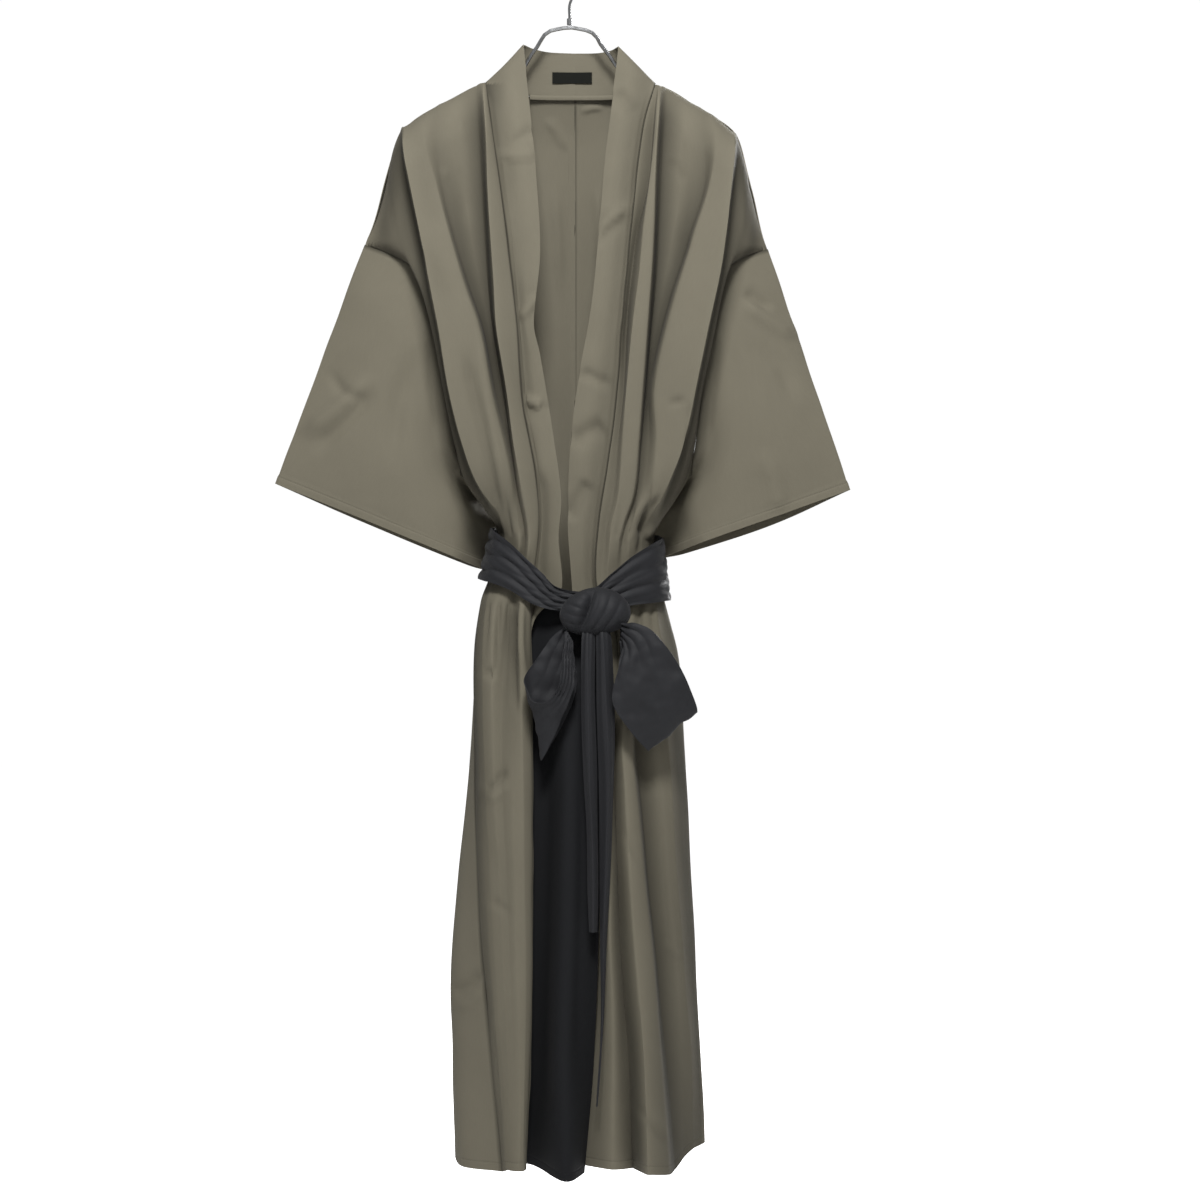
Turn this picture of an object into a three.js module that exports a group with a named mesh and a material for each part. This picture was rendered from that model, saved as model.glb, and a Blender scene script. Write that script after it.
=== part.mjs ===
// A kimono coat with its sash, hung on a wire hanger.
// Millimetres, +Z up. The origin is the inside top of the hanger's hook, where the rail bears.
// +X is the wearer's left, and the fronts face -Y. A height is written as a drop below the rail.
import * as THREE from "three";

// Driving dimensions
const CLOTH = 1.6;
const SASH_CLOTH = 1.4;
const LABEL_CLOTH = 1.0;
const SEAM_INSET = 1.0;
const ARMHOLE_INSET = 2.2;
const PANEL_INSET = 1.9;
const NECK_INSET = 0.4;
const SHOULDER_ROUND = 60;
const YOKE_DROP = 361;
const UNDERARM_DROP = 595;
const WAIST_SEAM_DROP = 736;
const CENTRE_BACK_X = 4;
const HOOK_RADIUS = 20;
const HOOK_WIRE = 1.6;
const FRAME_WIRE = 2.2;

// Rows of cloth: shares of the way from the shoulder line to the yoke, then drops down to the hem
const YOKE_STEPS = [0, 0.012, 0.05, 0.13, 0.28, 0.5, 0.75];
const BODY_DROPS = [
  YOKE_DROP, 395, 428, 474, 520, 558, UNDERARM_DROP, 625, 655, 680, 710, WAIST_SEAM_DROP,
  768, 800, 860, 927, 1010, 1100, 1175, 1250, 1310, 1368,
];
const HEM_DROP = BODY_DROPS[BODY_DROPS.length - 1];
const HEM_EASE_DROP = 1100;
const ARM_ROWS = YOKE_STEPS.length + BODY_DROPS.indexOf(UNDERARM_DROP) + 1;

// Seam lines that two pieces share, as [drop, x, y]
const BAND_SEAM_RIGHT = [
  [146, -97, -46], [215, -87, -56], [324, -72, -66], [428, -60, -70], [520, -53, -68], [595, -40, -64],
  [655, -36, -57], [710, -42, -52], [740, -45, -56], [800, -44, -62], [927, -42, -78], [1100, -42, -92],
  [1250, -44, -102], [1368, -49, -108],
];
const BAND_SEAM_LEFT = [
  [145, 97, -46], [215, 80, -58], [324, 68, -66], [428, 58, -70], [520, 51, -66], [595, 40, -62],
  [655, 31, -58], [710, 28, -54], [740, 32, -55], [800, 38, -64], [927, 37, -80], [1100, 33, -92],
  [1250, 27, -98], [1368, 16, -96],
];
const ARM_FRONT_RIGHT = [
  [331, -237, -1], [340, -216, -12], [350, -193, -21], [361, -173, -27], [395, -160, -29],
  [428, -153, -28], [520, -140, -22], [595, -124, -2],
];
const ARM_BACK_RIGHT = [
  [331, -237, 1], [340, -216, 10], [350, -193, 17], [361, -173, 22], [395, -160, 22], [428, -153, 20],
  [520, -140, 14], [595, -124, 0],
];
const ARM_FRONT_LEFT = [
  [336, 226, -1], [343, 208, -12], [351, 191, -21], [361, 174, -27], [395, 166, -29], [428, 160, -28],
  [520, 147, -22], [595, 136, -2],
];
const ARM_BACK_LEFT = [
  [336, 226, 1], [343, 208, 10], [351, 191, 17], [361, 174, 22], [395, 166, 22], [428, 160, 20],
  [520, 147, 14], [595, 136, 0],
];
const SIDE_RIGHT = [
  [595, -124, -1], [625, -105, -1], [655, -85, 0], [680, -85, 0], [710, -93, 0], [740, -103, -8],
  [800, -110, -23], [927, -109, -42], [1100, -101, -72], [1250, -87, -90], [1368, -75, -101],
];
const SIDE_LEFT = [
  [595, 136, -1], [625, 119, -1], [655, 98, 0], [680, 95, 0], [710, 99, 0], [740, 107, 4],
  [800, 121, 10], [927, 130, 17], [1100, 138, 20], [1250, 144, 24], [1368, 148, 26],
];
const CENTRE_BACK = [
  [150, CENTRE_BACK_X, 38], [215, CENTRE_BACK_X, 46], [361, CENTRE_BACK_X, 56], [520, CENTRE_BACK_X, 58],
  [595, CENTRE_BACK_X, 56], [655, CENTRE_BACK_X, 52], [710, CENTRE_BACK_X, 50], [740, CENTRE_BACK_X, 53],
  [800, CENTRE_BACK_X, 62], [927, CENTRE_BACK_X, 76], [1100, CENTRE_BACK_X, 86], [1368, CENTRE_BACK_X, 95],
];

// Fold lines of the wearer's right front, as [x, y] at each drop, from the band seam to the armhole
const FRONT_RIGHT = {
  first: BAND_SEAM_RIGHT,
  last: ARM_FRONT_RIGHT.concat(SIDE_RIGHT.slice(1)),
  tops: [144.5, 146, 154, 170, 196, 254, 331],
  topY: [-1, -1, -1, -1, -1, -1, -1],
  hem: [1368, 1368, 1368, 1368, 1368, 1370, 1372],
  folds: ["ridge", "valley", "swell", "edge", "turn"],
  rows: [
    [150, [-102, -52], [-120, -34], [-152, -40], [-191, -46], [-216, -30]],
    [215, [-94, -61], [-121, -38], [-151, -50], [-192, -58], [-218, -32]],
    [324, [-83, -71], [-110, -44], [-135, -62], [-170, -72], [-198, -42]],
    [361, [-79, -73], [-104, -46], [-127, -66], [-162, -75], [-171, -52]],
    [428, [-73, -75], [-95, -48], [-110, -68], [-149, -77], [-155, -52]],
    [520, [-63, -73], [-74, -60], [-88, -72], [-132, -76], [-138, -50]],
    [595, [-51, -68], [-61, -58], [-76, -68], [-111, -64], [-122, -38]],
    [655, [-44, -59], [-51, -52], [-60, -53], [-75, -40], [-83, -20]],
    [680, [-44, -56], [-52, -50], [-61, -51], [-75, -37], [-83, -18]],
    [710, [-50, -52], [-60, -47], [-70, -45], [-83, -31], [-91, -15]],
    [740, [-58, -58], [-70, -50], [-82, -49], [-94, -39], [-102, -25]],
    [800, [-56, -68], [-74, -54], [-88, -58], [-98, -50], [-106, -38]],
    [927, [-54, -84], [-72, -78], [-86, -76], [-96, -68], [-104, -56]],
    [1100, [-50, -98], [-62, -98], [-74, -96], [-84, -90], [-94, -82]],
    [1250, [-50, -108], [-58, -109], [-66, -107], [-74, -103], [-81, -97]],
    [1368, [-53, -114], [-58, -116], [-63, -115], [-68, -111], [-72, -107]],
  ],
};

// Fold lines of the wearer's left front, from the band seam to the armhole
const FRONT_LEFT = {
  first: BAND_SEAM_LEFT,
  last: ARM_FRONT_LEFT.concat(SIDE_LEFT.slice(1)),
  tops: [145.5, 147.5, 154, 168, 184.5, 202, 264, 336],
  topY: [-1, -1, -1, -1, -1, -1, -1, -1],
  hem: [1366, 1368, 1368, 1376, 1368, 1362, 1360, 1360],
  folds: ["first crest", "first crease", "second crest", "second crease", "third crest", "turn"],
  rows: [
    [150, [101, -52], [112, -36], [138, -36], [168, -44], [188, -48], [207, -30]],
    [215, [87, -64], [104, -40], [128, -42], [168, -54], [190, -58], [210, -34]],
    [324, [78, -72], [92, -46], [112, -44], [141, -62], [176, -72], [198, -42]],
    [361, [75, -74], [88, -46], [106, -46], [130, -66], [169, -75], [175, -52]],
    [428, [71, -75], [84, -50], [98, -50], [113, -68], [156, -77], [162, -52]],
    [520, [62, -71], [74, -60], [83, -62], [94, -70], [137, -74], [145, -50]],
    [595, [50, -67], [60, -60], [71, -63], [86, -68], [122, -64], [134, -38]],
    [655, [38, -60], [46, -54], [56, -56], [68, -53], [86, -40], [95, -20]],
    [680, [36, -57], [44, -52], [53, -52], [66, -49], [82, -37], [92, -18]],
    [710, [36, -54], [44, -50], [54, -49], [68, -45], [86, -33], [96, -15]],
    [740, [40, -57], [48, -51], [59, -52], [73, -46], [93, -36], [106, -14]],
    [800, [48, -69], [56, -58], [70, -66], [81, -56], [104, -46], [123, -12]],
    [927, [45, -90], [52, -78], [66, -89], [80, -70], [110, -60], [131, -14]],
    [1100, [45, -106], [55, -92], [76, -108], [98, -76], [124, -52], [140, -14]],
    [1250, [48, -116], [66, -100], [85, -124], [112, -74], [135, -42], [148, -10]],
    [1368, [46, -118], [69, -104], [82, -136], [118, -66], [138, -34], [153, -6]],
  ],
};

// Fold lines of the two halves of the back, from the centre seam to the armhole
const BACK_RIGHT = {
  first: CENTRE_BACK,
  last: ARM_BACK_RIGHT.concat(SIDE_RIGHT.slice(1)),
  tops: [154.8, 154.6, 152.2, 146.5, 166, 196, 254, 331],
  topY: [30, 29, 20, 1, 1, 1, 1, 1],
  hem: [1368, 1368, 1368, 1368, 1368, 1370, 1374, 1372],
  folds: ["nape", "neck", "shoulder point", "middle", "bend", "turn"],
  rows: [
    [150, [-30, 38], [-66, 34], [-98, 30], [-144, 30], [-191, 32], [-216, 22]],
    [215, [-32, 44], [-66, 44], [-98, 42], [-142, 44], [-190, 44], [-218, 28]],
    [324, [-32, 48], [-64, 53], [-94, 47], [-130, 53], [-168, 50], [-198, 34]],
    [361, [-32, 50], [-62, 56], [-92, 49], [-126, 56], [-158, 52], [-170, 40]],
    [428, [-30, 51], [-58, 58], [-84, 51], [-116, 58], [-144, 50], [-154, 38]],
    [520, [-27, 51], [-54, 58], [-78, 51], [-104, 56], [-128, 44], [-138, 30]],
    [595, [-24, 50], [-48, 56], [-70, 49], [-92, 50], [-112, 38], [-121, 20]],
    [655, [-20, 46], [-40, 51], [-56, 43], [-68, 38], [-78, 26], [-84, 12]],
    [710, [-21, 45], [-42, 49], [-60, 42], [-74, 36], [-85, 25], [-92, 12]],
    [740, [-23, 46], [-46, 52], [-64, 44], [-82, 43], [-95, 31], [-102, 12]],
    [800, [-26, 49], [-50, 62], [-70, 49], [-86, 54], [-100, 38], [-108, 8]],
    [927, [-28, 58], [-54, 78], [-76, 60], [-96, 66], [-110, 42], [-117, -2]],
    [1100, [-30, 64], [-58, 90], [-84, 68], [-106, 74], [-124, 44], [-131, -28]],
    [1190, [-31, 66], [-60, 94], [-87, 70], [-109, 76], [-128, 44], [-135, -38]],
    [1250, [-32, 68], [-62, 97], [-90, 72], [-112, 78], [-130, 42], [-131, -48]],
    [1368, [-34, 70], [-64, 100], [-92, 74], [-114, 80], [-129, 40], [-125, -60]],
  ],
};
const BACK_LEFT = {
  first: CENTRE_BACK,
  last: ARM_BACK_LEFT.concat(SIDE_LEFT.slice(1)),
  tops: [154.8, 154.6, 152.2, 147, 171, 202, 264, 336],
  topY: [30, 29, 20, 1, 1, 1, 1, 1],
  hem: [1368, 1368, 1368, 1366, 1364, 1362, 1360, 1360],
  folds: ["nape", "neck", "shoulder point", "middle", "bend", "turn"],
  rows: [
    [150, [38, 38], [68, 34], [98, 30], [144, 30], [188, 32], [207, 22]],
    [215, [38, 44], [68, 44], [98, 42], [142, 44], [189, 44], [210, 28]],
    [324, [38, 48], [68, 53], [96, 47], [132, 53], [168, 50], [198, 34]],
    [361, [37, 50], [66, 56], [94, 49], [128, 56], [158, 52], [172, 40]],
    [428, [35, 51], [62, 58], [88, 51], [120, 58], [148, 50], [160, 38]],
    [520, [33, 51], [58, 58], [82, 51], [108, 56], [133, 44], [145, 30]],
    [595, [31, 50], [54, 56], [76, 49], [98, 50], [121, 38], [133, 20]],
    [655, [26, 46], [46, 51], [62, 43], [76, 37], [88, 26], [96, 12]],
    [710, [27, 45], [47, 49], [64, 42], [79, 36], [90, 25], [97, 12]],
    [740, [28, 46], [50, 52], [69, 44], [85, 40], [98, 29], [105, 16]],
    [800, [30, 49], [54, 62], [76, 49], [95, 54], [111, 40], [119, 26]],
    [927, [32, 58], [58, 78], [82, 60], [102, 66], [119, 48], [128, 33]],
    [1100, [34, 64], [62, 90], [88, 68], [111, 76], [129, 54], [137, 38]],
    [1250, [36, 68], [66, 97], [94, 72], [118, 80], [136, 56], [144, 41]],
    [1368, [38, 70], [68, 100], [96, 74], [121, 82], [140, 58], [149, 43]],
  ],
};

// The black panel that leads the wearer's left front, from its hidden edge to the seam
const PANEL = {
  first: [
    [736, -60, -38], [800, -68, -40], [927, -76, -52], [1100, -82, -64], [1250, -84, -72], [1368, -84, -76],
  ],
  last: BAND_SEAM_LEFT,
  folds: ["tuck", "swell"],
  hem: [1368, 1368, 1376, 1374],
  rows: [
    [736, [-38, -43], [0, -48]],
    [800, [-36, -46], [4, -64]],
    [927, [-38, -64], [4, -88]],
    [1100, [-40, -76], [0, -107]],
    [1250, [-42, -82], [-6, -121]],
    [1368, [-44, -84], [-5, -131]],
  ],
};

// Sections of the neck bands behind the neck, as [seam point, free edge point]
const STAND_RIGHT = [
  [[CENTRE_BACK_X, 30, -155.2], [CENTRE_BACK_X, 27, -104]],
  [[-30, 29, -155], [-26, 25, -103]],
  [[-66, 20, -150.8], [-44, 15, -101]],
  [[-90, 7, -143.4], [-53, 3, -100]],
];
const STAND_LEFT = [
  [[CENTRE_BACK_X, 30, -155.2], [CENTRE_BACK_X, 27, -104]],
  [[36, 29, -155], [30, 25, -104]],
  [[68, 20, -150.6], [46, 15, -103]],
  [[91, 7, -144], [53, 3, -102]],
];

// Free edges of the bands in front, as [drop, x, y]
const FREE_EDGE_RIGHT = [
  [104, -54, -5], [122, -52, -14], [147, -50, -26], [193, -45, -42], [255, -39, -54], [347, -34, -62],
  [428, -41, -66], [462, -34, -66], [566, -17, -66], [623, -10, -65], [669, -13, -62], [727, -10, -60],
  [760, -20, -54], [800, -30, -55], [850, -54, -60], [927, -74, -63], [1100, -74, -80], [1250, -68, -89],
  [1368, -62, -94],
];
const FREE_EDGE_LEFT = [
  [106, 54, -5], [128, 52, -14], [152, 49, -26], [193, 45, -40], [232, 40, -48], [313, 33, -58],
  [405, 24, -63], [485, 10, -62], [554, 1, -58], [646, -3, -52], [727, 2, -48], [734, 2, -48],
];
const BAND_DIP = 6;
const BAND_ROLL = 8;
const BAND_LEAN = 42;
const BAND_LEAN_FADE = 30;

// Cuff of each sleeve, as [share of the way round, x, y, drop], from the top fold to the underarm
const SLEEVE_RIGHT = {
  front: ARM_FRONT_RIGHT,
  back: ARM_BACK_RIGHT,
  cuffFront: [[0, -339, -1, 605], [0.5, -236, -19, 646], [0.88, -135, -14, 688], [1, -98, 38, 704]],
  cuffBack: [[0, -339, 1, 605], [0.5, -236, 19, 650], [0.88, -122, 40, 697], [1, -98, 38, 704]],
};
const SLEEVE_LEFT = {
  front: ARM_FRONT_LEFT,
  back: ARM_BACK_LEFT,
  cuffFront: [[0, 320, -1, 612], [0.5, 238, -19, 641], [0.88, 153, -13, 671], [1, 106, 38, 689]],
  cuffBack: [[0, 320, 1, 612], [0.5, 230, 19, 652], [0.88, 132, 40, 684], [1, 106, 38, 689]],
};
const SLEEVE_ROWS = 8;
const SLEEVE_FULLNESS = 12;
const SLEEVE_KICK = 38;
const ARM_CLEAR = 1.8;
const UNDERARM_BOW = [[0, 0], [0.12, 5], [0.25, 32], [0.4, 48], [0.55, 49], [0.8, 18], [1, 2]];
const UNDERARM_BEHIND = [[0, 0], [0.12, 8], [0.25, 30], [0.4, 32], [0.55, 27], [0.8, 14], [1, 0]];

// The sash round the waist, as [turn in degrees from +X, top drop, bottom drop, x, y, draw in at the top]
const SASH = [
  [0, 668, 738, 112, 0, 8], [40, 662, 728, 96, 41, 6], [90, 655, 722, 4, 62, 3],
  [140, 655, 718, -86, 41, 6], [180, 655, 714, -104, 0, 14], [210, 660, 717, -93, -42, 10],
  [230, 676, 727, -68, -60, 5], [248, 702, 744, -38, -66, 2], [262, 724, 750, -14, -68, 0],
  [280, 727, 751, 22, -68, 0], [292, 708, 749, 46, -66, 1], [307, 690, 744, 70, -60, 4],
  [325, 674, 741, 97, -45, 6], [345, 668, 739, 110, -20, 8],
];
const SASH_AROUND = 60;

// The knot, and the two loops of the bow as [one edge's point, the other edge's point] at each station
const KNOT = { x: 24, y: -89.5, drop: 757, width: 68, depth: 42, height: 60, groove: 0.24 };
const LOOP_RIGHT = [
  [[-6.2, -95, -772], [1.2, -92, -784]],
  [[-8, -108, -806], [6, -101, -810]],
  [[-16, -116, -842], [3, -106, -838]],
  [[-36, -118, -850], [-10, -108, -872]],
  [[-50, -108, -832], [-29, -102, -913]],
  [[-47, -97, -818], [-26, -95, -908]],
  [[-33, -90, -798], [-4, -92, -868]],
  [[-22, -87, -782], [8, -91, -830]],
  [[-8, -88, -768], [1, -87, -784]],
];
const LOOP_LEFT = [
  [[55.7, -100, -762], [60, -97, -784]],
  [[88, -112, -770], [54, -112, -812]],
  [[118, -116, -806], [47, -116, -850]],
  [[137, -110, -846], [66, -112, -882]],
  [[141, -100, -862], [87, -100, -906]],
  [[134, -90, -850], [70, -90, -884]],
  [[114, -84, -812], [54, -90, -850]],
  [[88, -84, -780], [56, -92, -812]],
  [[55.3, -86, -768], [57, -88, -786]],
];

// The two hanging ends, as [drop, one edge x, y, fold x, y, other edge x, y]
const END_RIGHT = [
  [784.8, 13, -100, 20, -104, 28, -98], [850, 13, -104, 20, -110, 27, -104],
  [927, 15, -108, 22, -114, 30, -107], [1000, 19, -114, 25, -120, 31, -112],
  [1060, 20, -117, 26, -122, 31, -115], [1104, 22, -119, 26, -123, 30, -118],
];
const END_LEFT = [
  [784, 31, -98, 37, -104, 43, -96], [850, 32, -104, 40, -110, 47, -101],
  [927, 34, -106, 43, -113, 49, -104], [1010, 34, -112, 41, -118, 46, -110],
  [1100, 34, -116, 38, -121, 41, -114], [1200, 34, -122, 36, -126, 38, -120],
  [1294, 29, -127, 30, -130, 31, -126],
];

// The hanger's wire frame, as [x, drop], from its middle outwards, then its arms under the shoulders
const STEM_X = -1.5;
const FRAME_MIDDLE = [STEM_X, 80];
const FRAME_RIGHT = [[-13, 81.5], [-24, 84], [-31, 89], [-38, 101], [-46, 112], [-53, 124]];
const FRAME_LEFT = [[9, 81.5], [20, 84], [28, 89], [35, 101], [44, 112], [52, 124]];
const ARM_SEAT = CLOTH / 2 + FRAME_WIRE + 1.6;
const ARM_LINE_RIGHT = [[-74, 142], [-110, 149.5], [-144, 166.5], [-172, 182], [-186, 192]];
const ARM_LINE_LEFT = [[74, 146], [110, 154], [144, 172], [172, 190], [184, 199]];
const LABEL = { left: -22, right: 24, top: 126, bottom: 138.5 };

// Materials
const khaki = new THREE.MeshStandardMaterial({ color: 0x857d6e, roughness: 0.78, metalness: 0 });
const blackCloth = new THREE.MeshStandardMaterial({ color: 0x1e1f22, roughness: 0.75, metalness: 0 });
const sashCloth = new THREE.MeshStandardMaterial({ color: 0x24252a, roughness: 0.62, metalness: 0 });
const labelCloth = new THREE.MeshStandardMaterial({ color: 0x36372f, roughness: 0.8, metalness: 0 });
const steel = new THREE.MeshStandardMaterial({ color: 0xc4c6c8, roughness: 0.25, metalness: 1 });

const group = new THREE.Group();

function add(name, geometry, material) {
  const mesh = new THREE.Mesh(geometry, material);
  mesh.name = name;
  group.add(mesh);
}

const lerp = (from, to, share) => from + (to - from) * share;

// A smooth curve through (keys, values), with the slope at each key taken from its neighbours
function along(keys, values, at) {
  const last = keys.length - 1;
  const t = Math.min(Math.max(at, keys[0]), keys[last]);
  let i = 0;
  while (i < last - 1 && t > keys[i + 1]) i += 1;
  const slope = (k) => {
    const before = Math.max(k - 1, 0);
    const after = Math.min(k + 1, last);
    return (values[after] - values[before]) / (keys[after] - keys[before]);
  };
  const span = keys[i + 1] - keys[i];
  const s = (t - keys[i]) / span;
  const blend = s * s * (3 - 2 * s);
  const lead = s * (1 - s) * (1 - s) * span * slope(i);
  const trail = s * s * (1 - s) * span * slope(i + 1);
  return lerp(values[i], values[i + 1], blend) + lead - trail;
}

// One value of a table's rows, followed down the drops of its first column
function follow(rows, column, drop) {
  return along(rows.map((row) => row[0]), rows.map((row) => row[column]), drop);
}

// The point of a seam table at one drop
function pointAt(rows, drop) {
  return new THREE.Vector3(follow(rows, 1, drop), follow(rows, 2, drop), -drop);
}

// The x and y of every fold line of a piece at one drop
function sectionAt(piece, drop) {
  const inner = piece.folds.map((name, k) => {
    const keys = piece.rows.map((row) => row[0]);
    return [0, 1].map((axis) => along(keys, piece.rows.map((row) => row[k + 1][axis]), drop));
  });
  const first = [follow(piece.first, 1, drop), follow(piece.first, 2, drop)];
  const last = [follow(piece.last, 1, drop), follow(piece.last, 2, drop)];
  return [first, ...inner, last];
}

// A point between fold lines, on a curve whose pace follows their spacing
function across(section, place) {
  const pace = [0];
  for (let k = 1; k < section.length; k += 1) {
    const gap = Math.hypot(section[k][0] - section[k - 1][0], section[k][1] - section[k - 1][1]);
    pace.push(pace[k - 1] + Math.sqrt(gap) + 0.01);
  }
  const k = Math.min(Math.floor(place), section.length - 2);
  const at = lerp(pace[k], pace[k + 1], place - k);
  return [0, 1].map((axis) => along(pace, section.map((point) => point[axis]), at));
}

// A level drop let out or taken up towards the hem, so that the hem falls where the piece's own does
function eased(piece, place, drop) {
  const indexes = piece.hem.map((value, k) => k);
  const share = Math.max((drop - HEM_EASE_DROP) / (HEM_DROP - HEM_EASE_DROP), 0);
  return drop + (along(indexes, piece.hem, place) - HEM_DROP) * share * share;
}

// The grid of a front or back, from its shoulder line to the hem
function panelGrid(piece, steps) {
  const places = (piece.folds.length + 1) * steps;
  const indexes = piece.tops.map((top, k) => k);
  const grid = [];
  for (let row = 0; row < YOKE_STEPS.length + BODY_DROPS.length; row += 1) {
    const line = [];
    for (let c = 0; c <= places; c += 1) {
      const place = c / steps;
      const top = along(indexes, piece.tops, place);
      const topY = along(indexes, piece.topY, place);
      const inYoke = row < YOKE_STEPS.length;
      const drop = inYoke ? lerp(top, YOKE_DROP, YOKE_STEPS[row]) : BODY_DROPS[row - YOKE_STEPS.length];
      const [x, y] = across(sectionAt(piece, drop), place);
      const round = Math.min((drop - top) / SHOULDER_ROUND, 1);
      const rise = Math.sqrt(1 - (1 - round) * (1 - round));
      line.push(new THREE.Vector3(x, lerp(topY, y, rise), -eased(piece, place, drop)));
    }
    grid.push(line);
  }
  return grid;
}

// Draws the chosen edges of a grid in from the seam lines, so that sewn pieces stay apart
function insetEdges(grid, edges, inset = SEAM_INSET) {
  const move = (point, towards) => {
    const step = towards.clone().sub(point);
    point.add(step.setLength(Math.min(inset, step.length() * 0.6)));
  };
  const last = grid.length - 1;
  const end = grid[0].length - 1;
  if (edges.includes("top")) grid[0].forEach((point, c) => move(point, grid[1][c]));
  if (edges.includes("bottom")) grid[last].forEach((point, c) => move(point, grid[last - 1][c]));
  if (edges.includes("start")) grid.forEach((line) => move(line[0], line[1]));
  if (edges.includes("end")) grid.forEach((line) => move(line[end], line[end - 1]));
  return grid;
}

// The direction square to a grid of points at one of them
function normalAt(grid, r, c, closed) {
  const rows = grid.length;
  const columns = grid[0].length;
  const before = closed ? (c + columns - 1) % columns : Math.max(c - 1, 0);
  const after = closed ? (c + 1) % columns : Math.min(c + 1, columns - 1);
  const sideways = grid[r][after].clone().sub(grid[r][before]);
  const downwards = grid[Math.min(r + 1, rows - 1)][c].clone().sub(grid[Math.max(r - 1, 0)][c]);
  return sideways.cross(downwards).normalize();
}

// A closed wall of cloth, half its thickness to each side of a grid
// With closed, the last column of the grid joins the first
function wall(grid, thickness, closed = false) {
  const rows = grid.length;
  const columns = grid[0].length;
  const points = [];
  for (const side of [1, -1]) {
    for (let r = 0; r < rows; r += 1) {
      for (let c = 0; c < columns; c += 1) {
        const offset = normalAt(grid, r, c, closed).multiplyScalar((side * thickness) / 2);
        points.push(grid[r][c].clone().add(offset));
      }
    }
  }
  const front = (r, c) => r * columns + (c % columns);
  const back = (r, c) => rows * columns + front(r, c);
  const faces = [];
  const quad = (a, b, c, d) => faces.push(a, b, c, a, c, d);
  const spans = closed ? columns : columns - 1;
  for (let r = 0; r < rows - 1; r += 1) {
    for (let c = 0; c < spans; c += 1) {
      quad(front(r, c), front(r, c + 1), front(r + 1, c + 1), front(r + 1, c));
      quad(back(r, c), back(r + 1, c), back(r + 1, c + 1), back(r, c + 1));
    }
  }
  for (let c = 0; c < spans; c += 1) {
    quad(front(0, c), back(0, c), back(0, c + 1), front(0, c + 1));
    quad(front(rows - 1, c), front(rows - 1, c + 1), back(rows - 1, c + 1), back(rows - 1, c));
  }
  if (!closed) {
    const end = columns - 1;
    for (let r = 0; r < rows - 1; r += 1) {
      quad(front(r, 0), front(r + 1, 0), back(r + 1, 0), back(r, 0));
      quad(front(r, end), back(r, end), back(r + 1, end), front(r + 1, end));
    }
  }
  return solidFrom(points, faces);
}

// A solid from its points and faces, turned to face outwards
function solidFrom(points, faces) {
  let volume = 0;
  for (let i = 0; i < faces.length; i += 3) {
    const [a, b, c] = [points[faces[i]], points[faces[i + 1]], points[faces[i + 2]]];
    volume += a.dot(b.clone().cross(c));
  }
  const outward = volume < 0 ? faces.slice().reverse() : faces;
  const geometry = new THREE.BufferGeometry();
  const values = points.flatMap((point) => [point.x, point.y, point.z]);
  geometry.setAttribute("position", new THREE.Float32BufferAttribute(values, 3));
  geometry.setIndex(outward);
  geometry.computeVertexNormals();
  return geometry;
}

// The black panel's grid, from the waist to its hem
function leadingPanelGrid(steps) {
  const places = (PANEL.folds.length + 1) * steps;
  const drops = [WAIST_SEAM_DROP + 2, ...BODY_DROPS.filter((drop) => drop > WAIST_SEAM_DROP)];
  return drops.map((drop) => {
    const section = sectionAt(PANEL, drop);
    return Array.from({ length: places + 1 }, (unused, c) => {
      const [x, y] = across(section, c / steps);
      return new THREE.Vector3(x, y, -eased(PANEL, c / steps, drop));
    });
  });
}

// A section across a band: its seam, the dip beside the seam, the middle and the free edge
function bandSection(seam, free, dip) {
  const shares = [0, 0.16, 0.55, 1];
  const depths = [0, dip, dip * 0.25, 0];
  return shares.map((share, k) => {
    const point = seam.clone().lerp(free, share);
    point.y += depths[k];
    return point;
  });
}

// The band of one side: the stand behind the neck, then the front edge down to lastDrop
function bandGrid(stand, seamRows, freeRows, top, lastDrop) {
  const grid = stand.map(([seam, free]) =>
    bandSection(new THREE.Vector3(...seam), new THREE.Vector3(...free), 0),
  );
  const drops = YOKE_STEPS.slice(1).map((step) => lerp(top, YOKE_DROP, step));
  drops.push(...BODY_DROPS.filter((drop) => drop < lastDrop), lastDrop);
  for (const drop of drops) {
    const round = Math.min((drop - top) / SHOULDER_ROUND, 1);
    const rise = Math.sqrt(1 - (1 - round) * (1 - round));
    const seam = pointAt(seamRows, drop);
    seam.y = lerp(-1, seam.y, rise);
    const free = pointAt(freeRows, drop - BAND_LEAN * Math.exp((top - drop) / BAND_LEAN_FADE));
    grid.push(bandSection(seam, free, drop < WAIST_SEAM_DROP ? BAND_DIP * rise : BAND_ROLL));
  }
  return grid;
}

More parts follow.
